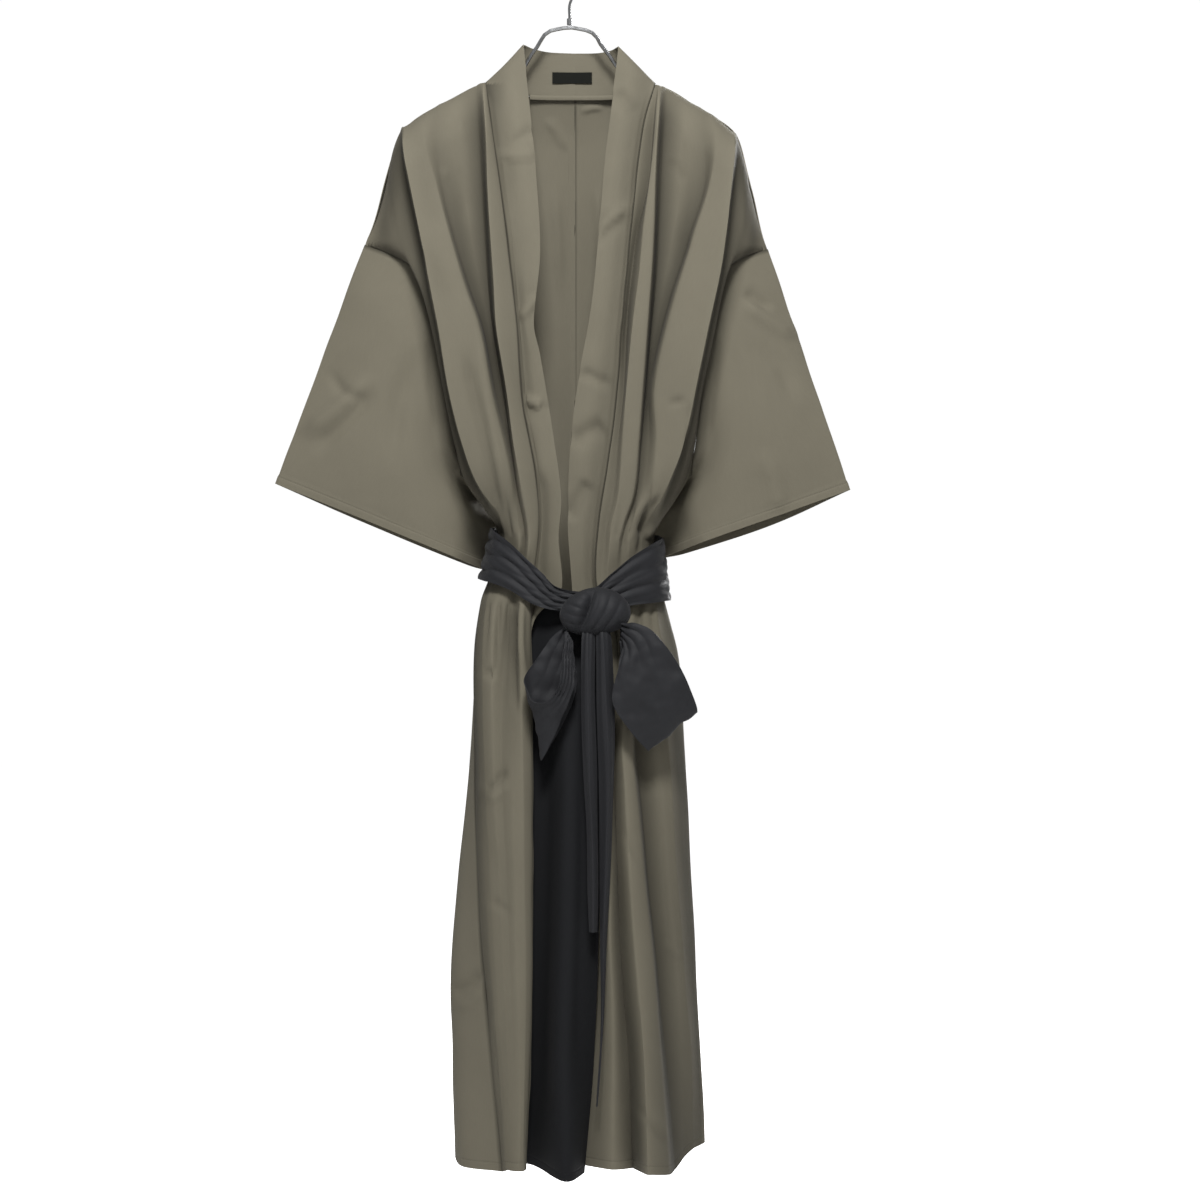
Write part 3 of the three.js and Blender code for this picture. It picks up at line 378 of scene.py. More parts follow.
# %% Cuffs and underarms
SLEEVE_RIGHT = dict(
    front=ARM_FRONT_RIGHT,
    back=ARM_BACK_RIGHT,
    cuff_front=[[0, -339, -1, 605], [0.5, -236, -19, 646], [0.88, -135, -14, 688], [1, -98, 38, 704]],
    cuff_back=[[0, -339, 1, 605], [0.5, -236, 19, 650], [0.88, -122, 40, 697], [1, -98, 38, 704]],
)
SLEEVE_LEFT = dict(
    front=ARM_FRONT_LEFT,
    back=ARM_BACK_LEFT,
    cuff_front=[[0, 320, -1, 612], [0.5, 238, -19, 641], [0.88, 153, -13, 671], [1, 106, 38, 689]],
    cuff_back=[[0, 320, 1, 612], [0.5, 230, 19, 652], [0.88, 132, 40, 684], [1, 106, 38, 689]],
)
SLEEVE_FULLNESS = 12
SLEEVE_KICK = 38
ARM_CLEAR = 1.8
UNDERARM_BOW = [
    [0, 0], [0.03, 8], [0.06, 15], [0.12, 26], [0.25, 38], [0.4, 48], [0.55, 49], [0.8, 18], [1, 2],
]
UNDERARM_BEHIND = [[0, 0], [0.12, 8], [0.25, 30], [0.4, 32], [0.55, 27], [0.8, 14], [1, 0]]
print("the underarm bows in by up to", max(row[1] for row in UNDERARM_BOW), "mm")

# %% [markdown]
# ## Sash, knot and bow
# The sash is one long strip, but tied it reads as separate runs: the stretch round the waist, two loops,
# two hanging ends and the knot. Each run is a table of stations with its own meaning. The waist goes by
# the angle round the body, the loops and the ends go along the strip.

# %% Sash, knot and bow
SASH = [
    [0, 668, 738, 112, 0, 8], [40, 662, 728, 96, 41, 6], [90, 655, 722, 4, 62, 3],
    [140, 655, 718, -86, 41, 6], [180, 655, 714, -104, 0, 14], [210, 660, 717, -93, -42, 10],
    [230, 676, 727, -68, -60, 5], [248, 702, 744, -38, -66, 2], [262, 724, 750, -14, -68, 0],
    [280, 727, 751, 22, -68, 0], [292, 708, 749, 46, -66, 1], [307, 690, 744, 70, -60, 4],
    [325, 674, 741, 97, -45, 6], [345, 668, 739, 110, -20, 8], [360, 668, 738, 112, 0, 8],
]
KNOT = dict(x=28, y=-89.5, drop=753, width=78, depth=44, height=52, groove=0.5)
LOOP_RIGHT = [
    [[-6.2, -95, -772], [1.2, -92, -784]],
    [[-8, -108, -806], [6, -101, -810]],
    [[-16, -116, -842], [3, -106, -838]],
    [[-36, -118, -850], [-10, -108, -872]],
    [[-50, -108, -832], [-29, -102, -913]],
    [[-47, -97, -818], [-26, -95, -908]],
    [[-33, -90, -798], [-4, -92, -868]],
    [[-22, -87, -782], [8, -91, -830]],
    [[-8, -88, -768], [1, -87, -784]],
]
LOOP_LEFT = [
    [[55.7, -100, -762], [60, -97, -784]],
    [[88, -112, -770], [54, -112, -812]],
    [[118, -116, -806], [47, -116, -850]],
    [[137, -110, -846], [66, -112, -882]],
    [[141, -100, -862], [87, -100, -906]],
    [[134, -90, -850], [70, -90, -884]],
    [[114, -84, -812], [54, -90, -850]],
    [[88, -84, -780], [56, -92, -812]],
    [[55.3, -86, -768], [57, -88, -786]],
]
END_RIGHT = [
    [766, 17, -94, 22, -97, 27, -93],
    [784.8, 13, -100, 20, -104, 28, -98], [850, 13, -104, 20, -110, 27, -104],
    [927, 15, -108, 22, -114, 30, -107], [1000, 19, -114, 25, -120, 31, -112],
    [1060, 20, -117, 26, -122, 31, -115], [1104, 22, -119, 26, -123, 30, -118],
]
END_LEFT = [
    [766, 29, -94, 35, -97, 41, -92],
    [784, 29.5, -98, 37, -104, 46, -96], [850, 30, -104, 40, -110, 49, -101],
    [927, 32, -106, 43, -113, 49, -104], [1010, 33, -112, 41, -118, 46, -110],
    [1100, 34, -116, 38, -121, 41, -114], [1200, 34, -122, 36, -126, 38, -120],
    [1294, 29, -127, 30, -130, 31, -126],
]
print("stations of the sash, a loop and the ends:", len(SASH), len(LOOP_LEFT), len(END_RIGHT), len(END_LEFT))

# %% [markdown]
# ## One curve across the folds
# Pressed cloth turns sharply at some folds and rolls over others. One cubic curve through the marked
# points would round them all, and straight lines would crease them all. So the slope at each mark runs
# between the two by its crisp value, and longer stretches of cloth get a longer share of the curve.

# %% Across the folds
SLACK = 0.01


def pick(values, k):
    return np.take_along_axis(values, k[:, None], axis=1)[:, 0]


def across(sections, places, crisp):
    gaps = np.linalg.norm(np.diff(sections, axis=1), axis=2)
    pace = np.cumsum(np.sqrt(gaps) + SLACK, axis=1)
    pace = np.concatenate([np.zeros((len(pace), 1)), pace], axis=1)
    last = sections.shape[1] - 1
    k = np.minimum(np.floor(places).astype(int), last - 1)
    s = places - k
    span = pick(pace, k + 1) - pick(pace, k)
    blend = s * s * (3 - 2 * s)
    sharp = np.asarray(crisp, float)
    found = []
    for axis in (0, 1):
        values = sections[:, :, axis]
        start, end = pick(values, k), pick(values, k + 1)

        def slope(at):
            before = np.maximum(at - 1, 0)
            after = np.minimum(at + 1, last)
            smooth = (pick(values, after) - pick(values, before)) / (pick(pace, after) - pick(pace, before))
            return smooth + ((end - start) / span - smooth) * sharp[at]

        lead = s * (1 - s) ** 2 * span * slope(k)
        trail = s * s * (1 - s) * span * slope(k + 1)
        found.append(start + (end - start) * blend + lead - trail)
    return found


flat_row = across(np.array([[[0, 0], [10, 5], [20, 0]]], float), np.array([0.5]), [0, 0, 0])
print(f"a soft fold of 5 mm stands at {flat_row[1][0]:.2f} mm beside its crest")

# %% [markdown]
# ## Grids of cloth
# A front or a back is a grid: rows run across the folds and columns run down the cloth. Each row takes
# the folds' places at its height and draws one curve through them. Near the shoulder the cloth turns
# over in a quarter round, and towards the hem it is let out or taken up.

# %% Rows at every height
GRID_STEP = 4.0


def sections_at(piece, drops):
    keys = [row[0] for row in piece["rows"]]
    columns = [[follow(piece["first"], axis, drops) for axis in (1, 2)]]
    for k in range(1, len(piece["rows"][0])):
        columns.append([along(keys, [row[k][axis] for row in piece["rows"]], drops) for axis in (0, 1)])
    columns.append([follow(piece["last"], axis, drops) for axis in (1, 2)])
    return np.transpose(columns, (2, 0, 1))


def rounding(drops, tops):
    share = np.clip((drops - tops) / SHOULDER_ROUND, 0, 1)
    return np.sqrt(1 - (1 - share) ** 2)


def body_drops(start):
    return np.linspace(start, HEM_DROP, round((HEM_DROP - start) / GRID_STEP) + 1)


def folded_grid(piece, drops, places):
    sections = sections_at(piece, drops.ravel())
    x, y = across(sections, np.broadcast_to(places, drops.shape).ravel(), piece["crisp"])
    ease = np.maximum((drops - HEM_EASE_DROP) / (HEM_DROP - HEM_EASE_DROP), 0) ** 2
    let_out = along(range(len(piece["hem"])), piece["hem"], places) - HEM_DROP
    z = -(drops + let_out * ease)
    return np.stack([x.reshape(drops.shape), y.reshape(drops.shape), z], axis=-1)


print("rows from the yoke to the hem:", len(body_drops(YOKE_DROP)))

# %% [markdown]
# ## Whole fronts and backs
# Above the yoke line the rows fan out from the shoulder, because the shoulder slopes and the hem doesn't.
# They crowd together near the top, where the cloth turns over. The black panel starts at the waist, so
# it only needs level rows.

# %% Grids for the fronts, the backs and the panel
COLUMNS_PER_FOLD = 11
YOKE_ROWS = 56
YOKE_CROWDING = 1.7


def panel_grid(piece, columns_per_fold):
    folds = len(piece["hem"]) - 1
    places = np.linspace(0, folds, folds * columns_per_fold + 1)
    knots = range(len(piece["tops"]))
    tops = along(knots, piece["tops"], places)
    shares = (np.arange(YOKE_ROWS) / YOKE_ROWS) ** YOKE_CROWDING
    yoke = tops + (YOKE_DROP - tops) * shares[:, None]
    body = np.repeat(body_drops(YOKE_DROP)[:, None], len(places), axis=1)
    drops = np.concatenate([yoke, body])
    grid = folded_grid(piece, drops, places)
    top_y = along(knots, piece["top_y"], places)
    grid[..., 1] = top_y + (grid[..., 1] - top_y) * rounding(drops, tops)
    return grid


def skirt_panel_grid(piece, columns_per_fold):
    folds = len(piece["hem"]) - 1
    places = np.linspace(0, folds, folds * columns_per_fold + 1)
    drops = np.repeat(body_drops(WAIST_SEAM_DROP + 2)[:, None], len(places), axis=1)
    return folded_grid(piece, drops, places)


print("rows and columns of the right front:", panel_grid(FRONT_RIGHT, COLUMNS_PER_FOLD).shape[:2])

# %% [markdown]
# ## Bands
# A neck band is a run of narrow sections: each starts at the seam, dips beside it and ends at the free
# edge. Behind the neck the sections come from the stand's table, and from the shoulder down from the
# seam and the free edge at each height. One run through both makes the band a single strip.

# %% Grids for the bands
BAND_COLUMNS = 25
BAND_CROWDING = 1.4
BEHIND_STEP = 3.0


def band_section(seam, free, dip):
    shares = (np.arange(BAND_COLUMNS) / (BAND_COLUMNS - 1)) ** BAND_CROWDING
    depth = along([0, 0.16, 0.55, 1], [0, dip, dip * 0.25, 0], shares)
    line = seam + (free - seam) * shares[:, None]
    line[:, 1] += depth
    return line


def band_grid(stand, seam_rows, free_rows, top, last_drop):
    near_top = top + (YOKE_DROP - top) * (np.arange(1, 50) / 50) ** YOKE_CROWDING
    drops = np.concatenate([near_top, np.arange(YOKE_DROP, last_drop, GRID_STEP), [last_drop]])
    seams = points_at(seam_rows, drops)
    rise = rounding(drops, top)
    seams[:, 1] = -0.5 + (seams[:, 1] + 0.5) * rise
    frees = points_at(free_rows, drops - BAND_LEAN * np.exp((top - drops) / BAND_LEAN_FADE))
    dips = np.where(drops < WAIST_SEAM_DROP, BAND_DIP * rise, BAND_ROLL)
    marks = [[*seam, *free, 0.0] for seam, free in stand]
    marks += [[*seams[k], *frees[k], dips[k]] for k in (0, 6, 12)]
    marks = np.array(marks)
    reach = np.concatenate([[0], np.cumsum(np.linalg.norm(np.diff(marks[:, :3], axis=0), axis=1))])
    behind = np.arange(0, reach[len(stand)], BEHIND_STEP)
    stand_marks = np.stack([along(reach, marks[:, k], behind) for k in range(7)], axis=-1)
    front_marks = np.column_stack([seams, frees, dips])
    return np.array([band_section(m[:3], m[3:6], m[6]) for m in np.vstack([stand_marks, front_marks])])


right_band = band_grid(STAND_RIGHT, BAND_SEAM_RIGHT, FREE_EDGE_RIGHT, FRONT_RIGHT["tops"][0], HEM_DROP)
left_band = band_grid(STAND_LEFT, BAND_SEAM_LEFT, FREE_EDGE_LEFT, FRONT_LEFT["tops"][0], LEFT_BAND_END)
print("sections along the two bands:", len(right_band), "and", len(left_band))

# %% [markdown]
# ## Sleeves
# A sleeve is a tube, so its rings run from the armhole to the cuff. Each ring goes out along the front
# layer and comes back along the back layer. In between the cloth swells a little, as it does when two
# layers hang from one fold, and under the arm it bows in by the two short tables.

# %% Grids for the sleeves
SLEEVE_ROWS = 72
SHOULDER_POINTS = 14
SHOULDER_CROWDING = 1.5
UNDERARM_REACH = 6


def sleeve_layer(seam_rows, cuff_rows):
    top = seam_rows[0][0]
    shares = (np.arange(SHOULDER_POINTS) / SHOULDER_POINTS) ** SHOULDER_CROWDING
    below = np.linspace(YOKE_DROP, UNDERARM_DROP, 60)
    seam = points_at(seam_rows, np.concatenate([top + (YOKE_DROP - top) * shares, below]))
    reach = np.concatenate([[0], np.cumsum(np.linalg.norm(np.diff(seam, axis=0), axis=1))])
    share = reach / reach[-1]
    x, y, drop = (follow(cuff_rows, column, share) for column in (1, 2, 3))
    return seam, np.stack([x, y, -drop], axis=-1), share


def sleeve_grid(sleeve):
    layers = [sleeve_layer(sleeve["front"], sleeve["cuff_front"])]
    layers.append([part[::-1][1:-1] for part in sleeve_layer(sleeve["back"], sleeve["cuff_back"])])
    seam, cuff, share = (np.concatenate(parts) for parts in zip(*layers))
    side = np.sign(cuff[:, 0])
    full = np.sin(np.pi * share) * np.sign(cuff[:, 1])
    grid = []
    for s in np.linspace(0, 1, SLEEVE_ROWS):
        ring = seam + (cuff - seam) * s
        ring[:, 0] += side * share * (ARM_CLEAR + SLEEVE_KICK * 4 * s * (1 - s) ** 2)
        ring[:, 0] -= side * share**UNDERARM_REACH * float(follow(UNDERARM_BOW, 1, s))
        ring[:, 1] += full * np.sin(np.pi * s) * SLEEVE_FULLNESS * 0.5
        ring[:, 1] += share**UNDERARM_REACH * float(follow(UNDERARM_BEHIND, 1, s))
        grid.append(ring)
    return np.array(grid)


print("points round an armhole:", sleeve_grid(SLEEVE_RIGHT).shape[1])

# %% [markdown]
# ## Strips of the sash
# The sash's strips are given by a few stations along them, and the same smooth curve fills in the rest.
# The waist is a closed ring with two edges. A loop is a band between two edge lines that leave the knot
# and come back to it. An end hangs with a ridge down its middle, where its gathers stand up.

# %% Grids for the sash


def sash_grid(rows, around):
    turns = np.arange(around) / around * 360
    top, bottom, x, y, draw_in = (follow(SASH, column, turns) for column in range(1, 6))
    grid = []
    for share in np.linspace(0, 1, rows):
        draw = 1 - draw_in * (1 - share) / np.hypot(x, y)
        grid.append(np.stack([x * draw, y * draw, -(top + (bottom - top) * share)], axis=-1))
    return np.array(grid)


def loop_grid(stations, rows, columns):
    stations = np.array(stations, float)
    at = np.linspace(0, len(stations) - 1, rows)
    knots = range(len(stations))
    edges = [np.stack([along(knots, stations[:, e, axis], at) for axis in range(3)], -1) for e in (0, 1)]
    shares = np.linspace(0, 1, columns)[None, :, None]
    return edges[0][:, None] + (edges[1] - edges[0])[:, None] * shares


def end_grid(rows, steps, columns):
    table = np.array(rows, float)
    at = np.linspace(0, len(table) - 1, (len(table) - 1) * steps + 1)
    values = np.stack([along(range(len(table)), table[:, k], at) for k in range(7)], axis=-1)
    sections = values[:, 1:].reshape(len(at), 3, 2)
    places = np.linspace(0, 2, columns)
    x, y = across(np.repeat(sections, columns, axis=0), np.tile(places, len(at)), [0, 0.8, 0])
    z = np.repeat(-values[:, 0], columns)
    return np.stack([x, y, z], axis=-1).reshape(len(at), columns, 3)


print("points of a hanging end:", end_grid(END_LEFT, 40, 31).shape[:2])

# %% [markdown]
# ## Seams
# Two sewn pieces press against each other at their seam, so a thin groove runs along it and no light
# comes through. Welding the meshes would close the seam but lose the separate pieces. So each edge is
# let out by half a millimetre, and the cloth beside it rolls in. That doesn't close every seam: from
# behind, a narrow slit stays open under the stand, and a dark notch at the top of the centre back.

# %% Edges that lap and roll
FRONT, BACK = -1, 1
SEAM_LAP = 0.5


def grid_normals(grid, closed=False):
    if closed:
        sideways = np.roll(grid, -1, axis=1) - np.roll(grid, 1, axis=1)
    else:
        sideways = np.gradient(grid, axis=1)
    square = np.cross(sideways, np.gradient(grid, axis=0))
    return square / np.maximum(np.linalg.norm(square, axis=2, keepdims=True), 1e-9)


def lapped(grid, edges, lap=SEAM_LAP):
    lines = {"top": (grid[0], grid[1]), "bottom": (grid[-1], grid[-2])}
    lines["start"] = (grid[:, 0], grid[:, 1])
    lines["end"] = (grid[:, -1], grid[:, -2])
    for edge in edges:
        line, inner = lines[edge]
        step = inner - line
        line -= step * (lap / np.maximum(np.linalg.norm(step, axis=1, keepdims=True), -lap))
    return grid


def lengths(grid, axis):
    steps = np.linalg.norm(np.diff(grid, axis=axis), axis=2)
    return np.insert(np.cumsum(steps, axis=axis), 0, 0, axis=axis)


def rolled(grid, edges, outward, depth=0.9, width=2.5):
    over, down = lengths(grid, 1), lengths(grid, 0)
    away = {"start": over, "end": over[:, -1:] - over, "top": down, "bottom": down[-1:] - down}
    nearest = np.min([away[edge] for edge in edges], axis=0)
    normals = grid_normals(grid)
    facing_out = np.sign(normals[..., 1].mean()) * outward
    grid -= normals * (depth * facing_out * np.exp(-((nearest / width) ** 2)))[..., None]
    return grid


print("edges are let out by", SEAM_LAP, "mm")

# %% [markdown]
# ## Maps over the cloth
# Each piece keeps three maps. One runs along its own threads in metres, and the weave follows it. One
# has the distances from its side and its hem, and the stitching follows it. The third is a painted shade
# mask from 0 to 1 that says how deep a point lies below the crests beside it. The photo's deep folds are
# darker than the light of this scene makes them, so the mask paints shade into their colour. It comes
# from the shape and not from the camera, so the painted shade stays in the colour under other lights.

# %% Thread, edge and painted shade maps
# Painted shade in the folds: how far it reaches beside a crest, the depth at which it is full, and its share
# on the backs.
PAINTED_SHADE_REACH = 31.0
PAINTED_SHADE_DEPTH = 19.0
PAINTED_SHADE_BEHIND = 0.25
# A thin line of painted shade along each sewn side: its width and its strength.
SEAM_SHADE = 1.5
SEAM_DARKNESS = 0.9
CREST_END_DROP = 655


def thread_map(grid):
    over = lengths(grid, 1)
    down = lengths(grid, 0)
    middle = over.shape[1] // 2
    return np.stack([over - over[:, middle : middle + 1], down], axis=-1)


def edge_map(grid):
    down = lengths(grid, 0)
    over = lengths(grid, 1)
    return np.stack([over, down[-1:] - down], axis=-1)


# Painted shade below a crest: full at the crest's depth and fading over its reach.
def below_crest(over, forward, crest_over, crest_forward):
    near = np.clip(1 - np.abs(over - crest_over) / PAINTED_SHADE_REACH, 0, 1)
    return np.clip((crest_forward - forward) / PAINTED_SHADE_DEPTH, 0, 1) * near


def own_folds(over, forward):
    mask = np.zeros(over.shape)
    for k in range(over.shape[1]):
        mask = np.maximum(mask, below_crest(over, forward, over[:, k : k + 1], forward[:, k : k + 1]))
    return mask


def beside_crests(grid, outward, crests):
    over, forward, drops = grid[..., 0], grid[..., 1] * outward, -grid[..., 2]
    mask = np.zeros(over.shape)
    for rows, column in crests:
        keys = [row[0] for row in rows]
        x, y = (along(keys, [row[column][axis] for row in rows], drops) for axis in (0, 1))
        reached = (drops > keys[0]) & (drops < CREST_END_DROP)
        mask = np.maximum(mask, np.where(reached, below_crest(over, forward, x, y * outward), 0))
    return mask


# The painted shade mask: shade beside other pieces' crests and the piece's own, and a line of painted shade
# along each seam.
def painted_shade_map(grid, outward, tube, crests, seams):
    over, forward = grid[..., 0], grid[..., 1] * outward
    mask = beside_crests(grid, outward, crests)
    if tube:
        mask *= forward > 0
    else:
        mask = np.maximum(mask, own_folds(over, forward)) * np.clip(forward / PAINTED_SHADE_DEPTH, 0, 1)
        mask *= PAINTED_SHADE_BEHIND if outward == BACK else 1
    lines = {"start": lengths(grid, 1), "top": lengths(grid, 0)}
    lines["end"] = lines["start"][:, -1:] - lines["start"]
    for seam in seams:
        mask = np.maximum(mask, SEAM_DARKNESS * np.exp(-((lines[seam] / SEAM_SHADE) ** 2)))
    return np.stack([np.clip(mask, 0, 1)] * 2, axis=-1)


print("a fold counts as deepest at", PAINTED_SHADE_DEPTH, "mm")

# %% [markdown]
# ## Walls
# A sheet with no thickness has no edge to catch the light, so every grid gets a thin wall. A Solidify
# modifier could add it, but the wall here is also doubled where a hem is turned in, so it is made from
# the grid itself. Two copies of the points are joined by faces round the rim.

# %% The faces of a wall


def wall_faces(rows, columns, closed):
    wraps = columns if closed else columns - 1
    r, c = np.meshgrid(np.arange(rows - 1), np.arange(wraps), indexing="ij")
    r, c = r.ravel(), c.ravel()
    quads = np.stack([r * (columns + 1) + c, (r + 1) * (columns + 1) + c], axis=-1)
    front = np.column_stack([quads[:, 0], quads[:, 0] + 1, quads[:, 1] + 1, quads[:, 1]])
    offset = rows * (columns + 1)
    back = front[:, ::-1] + offset
    at = np.arange(wraps)
    low = (rows - 1) * (columns + 1)
    top = np.column_stack([at + 1, at, at + offset, at + 1 + offset])
    bottom = np.column_stack([low + at, low + at + 1, low + at + 1 + offset, low + at + offset])
    faces = [front, back, top, bottom]
    if not closed:
        down = np.arange(rows - 1) * (columns + 1)
        under = down + columns + 1
        end = columns - 1
        faces.append(np.column_stack([down, under, under + offset, down + offset]))
        faces.append(np.column_stack([under + end, down + end, down + end + offset, under + end + offset]))
    return np.vstack(faces)


print("faces of a wall of 3 by 3 points:", len(wall_faces(3, 3, False)))

# %% [markdown]
# ## Meshes
# The real cloth is about half a millimetre thick, and the walls here are a little thicker so that their
# edges read. Each corner of a face carries the three maps. Edges sharper than 65 degrees stay sharp, so
# the rim of a hem doesn't shade as if it were round.

# %% A cloth mesh
CLOTH = 0.9
SASH_CLOTH = 0.6
HEM_DEPTH = 10.5
HEM_FADE = 1.5
SHARP_ANGLE = math.radians(65)


def cloth_mesh(name, grid, thickness, closed=False, hem=0.0, outward=FRONT, crests=(), seams=()):
    rows, columns = grid.shape[:2]
    looped = np.concatenate([grid, grid[:, :1]], axis=1)
    threads, edges = thread_map(looped), edge_map(looped)
    painted_shade = painted_shade_map(looped, outward, closed, crests, seams)
    normals = grid_normals(grid, closed)
    normals = np.concatenate([normals, normals[:, :1]], axis=1)
    doubled = 1 + hem * np.clip((HEM_DEPTH - edges[..., 1]) / HEM_FADE, 0, 1)
    outer = looped + normals * thickness / 2
    inner = looped - normals * (thickness * (doubled[..., None] - 0.5))
    corners = wall_faces(rows, columns, closed)
    spots = np.concatenate([outer.reshape(-1, 3), inner.reshape(-1, 3)]) * MM
    vertex = np.arange(len(spots)).reshape(2, rows, columns + 1)
    if closed:
        vertex[:, :, columns] = vertex[:, :, 0]
    used, faces = np.unique(vertex.ravel()[corners], return_inverse=True)
    mesh = bpy.data.meshes.new(name)
    mesh.from_pydata(spots[used].tolist(), [], faces.reshape(-1, 4).tolist())
    for label, values in (("threads", threads * MM), ("edges", edges * MM), ("painted_shade", painted_shade)):
        both = np.concatenate([values.reshape(-1, 2)] * 2)
        layer = mesh.uv_layers.new(name=label)
        layer.data.foreach_set("uv", both[corners.ravel()].ravel())
    mesh.polygons.foreach_set("use_smooth", np.ones(len(mesh.polygons), bool))
    mesh.update()
    mesh.set_sharp_from_angle(angle=SHARP_ANGLE)
    return mesh


print("cloth walls, mm:", CLOTH, SASH_CLOTH)

# %% [markdown]
# ## Pieces
# A piece rides on the one body and replaces its imported node. The size of a sheet can be measured along
# the cloth of its own grid, so it is right for each piece whatever its folds take up.

# %% Adding a piece and measuring a sheet


def add_piece(mesh, material, node):
    piece = bpy.data.objects.new(mesh.name, mesh)
    bpy.context.scene.collection.objects.link(piece)
    mesh.materials.append(material)
    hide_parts(node)
    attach(piece, "root")
    return piece


def cloth_area(grid):
    rows = np.linalg.norm(np.cross(np.diff(grid, axis=0)[:, :-1], np.diff(grid, axis=1)[:-1]), axis=2)
    return rows.sum() * MM * MM


square = np.array([[[x, 0, z] for x in (0, 500, 1000)] for z in (0, 500, 1000)], float)
print(f"a grid one metre square measures {cloth_area(square):.1f} m2")

# %% [markdown]
# ## Creases
# The tables hold the large folds. Smaller creases are pressed in afterwards, each along a listed
# line of x and drop. A soft trough or ridge has its own height and its own width on either side, so a
# fold can be sharp on one side and roll away on the other, as pressed cloth does. Its two fades say over
# which share of its length it rises and dies away.

# %% A crease and the way to it


def to_path(x, drop, path):
    path = np.array(path, float)
    steps = np.linalg.norm(np.diff(path, axis=0), axis=1)
    starts = np.concatenate([[0], np.cumsum(steps)])
    best = np.full(x.shape, np.inf)
    signed = np.zeros(x.shape)
    share = np.zeros(x.shape)
    for (x0, d0), (x1, d1), start, step in zip(path, path[1:], starts, steps):
        t = np.clip(((x - x0) * (x1 - x0) + (drop - d0) * (d1 - d0)) / step**2, 0, 1)
        away = np.hypot(x - x0 - t * (x1 - x0), drop - d0 - t * (d1 - d0))
        side = np.sign((d1 - d0) * (x - x0) - (x1 - x0) * (drop - d0))
        nearer = away < best
        best = np.where(nearer, away, best)
        signed = np.where(nearer, side * away, signed)
        share = np.where(nearer, (start + t * step) / starts[-1], share)
    return signed, share


def crease(path, height, left=6.0, right=6.0, fades=(0.2, 0.2)):
    return dict(path=path, height=height, left=left, right=right, fades=fades)


def ramp(value, length):
    s = np.clip(value / length, 0, 1) if length else np.ones_like(value)
    return s * s * (3 - 2 * s)


beside = to_path(np.array([5.0]), np.array([50.0]), [(0, 0), (0, 100)])
print("a point level with the middle of a crease:", beside[0][0], "mm off, at", beside[1][0], "of its length")

# %% [markdown]
# ## Pressing
# A crease pushes the cloth out along its own face. Pressed with the heights of the lists alone, the
# creases looked too faint beside the photo. So each kind of piece has one gain for all its creases: the
# loose sleeves have the largest, and the wide fronts and backs the smallest.

# %% Pressing creases into a grid
BODY_GAIN = 1.5
BAND_GAIN = 2.2
SLEEVE_GAIN = 2.8


def press(grid, creases, outward, columns=slice(None), closed=False, gain=BODY_GAIN):
    normals = grid_normals(grid, closed)[:, columns]
    part = grid[:, columns]
    facing = np.sign(normals[..., 1].mean()) * outward
    total = np.zeros(part.shape[:2])
    for fold in creases:
        signed, share = to_path(part[..., 0], -part[..., 2], fold["path"])
        width = np.where(signed < 0, fold["left"], fold["right"])
        fade = ramp(share, fold["fades"][0]) * ramp(1 - share, fold["fades"][1])
        total += gain * fold["height"] * np.exp(-((signed / width) ** 2)) * fade
    part += normals * (total * facing)[..., None]
    return grid


print("gains of the creases:", BODY_GAIN, BAND_GAIN, SLEEVE_GAIN)

# %% [markdown]
# ## Gathers
# Where the sash draws the coat in, the cloth puckers into short gathers that start at the sash and fade
# away from it. Each is a valley with a smaller ridge beside it. Their lengths and strengths follow short
# rhythms that repeat, so no two neighbours are alike.

# %% Gathers beside the sash
SHORTEST_GATHER = 0.62
WEAKEST_GATHER = 0.7
GATHER_FADES = (0.02, 0.9)


def gathers(places, top, bottom, height, width, lean=0.0):
    made = []
    for k, x in enumerate(places):
        reach = SHORTEST_GATHER + (1 - SHORTEST_GATHER) * ((k * 7) % 5) / 4
        strength = height * (WEAKEST_GATHER + (1 - WEAKEST_GATHER) * ((k * 3) % 4) / 3)
        valley = [(x, top), (x * (1 + lean), top + (bottom - top) * reach)]
        fades = GATHER_FADES
        if bottom < top:
            valley, fades = valley[::-1], fades[::-1]
        ridge = [(px + width * 1.5, drop) for px, drop in valley]
        made.append(crease(valley, -strength, width, width * 0.7, fades))
        made.append(crease(ridge, strength * 0.6, width, width, fades))
    return made


print("creases made for two gathers:", len(gathers([0, 12], 742, 860, 1.4, 3.2)))

# %% [markdown]
# ## Facing and crumple
# A wall has an outer and an inner face, so a grid is turned the right way round before it gets one. Worn
# cloth is also never quite smooth between its folds, so a slow noise moves it in and out, by one or two
# millimetres on the coat and more on the bow. It depends on the place and a seed alone, so it is the
# same in every run.

# %% Turning a grid and crumpling it


def facing(grid, outward):
    if grid_normals(grid)[..., 1].mean() * outward < 0:
        return np.ascontiguousarray(grid[:, ::-1])
    return grid


def crumple(grid, size, height, seed, stretch=(1.0, 1.0, 1.0), closed=False):
    shift = Vector((seed * 17.3, seed * 5.1, seed * 9.7))
    scale = Vector(stretch) / size
    flat = grid.reshape(-1, 3)
    values = np.array([noise.noise(Vector(p) * scale + shift) for p in flat.tolist()])
    grid += grid_normals(grid, closed) * (values.reshape(grid.shape[:2]) * height)[..., None]
    return grid


flat_cloth = np.array([[[x, 0, z] for x in range(0, 200, 10)] for z in range(0, 200, 10)], float)
moved = np.abs(crumple(flat_cloth, 48.0, 1.5, 1)[..., 1]).max()
print(f"crumpling by 1.5 mm moves a flat cloth by up to {moved:.2f} mm")

# %% [markdown]
# ## Threads, tone and wear
# Several cloths share the same small effects, so each effect is a node group with named sockets. A few
# helpers keep the groups short: one adds a maths node, one a noise, and one a narrow bell round a line.

# %% Node helpers


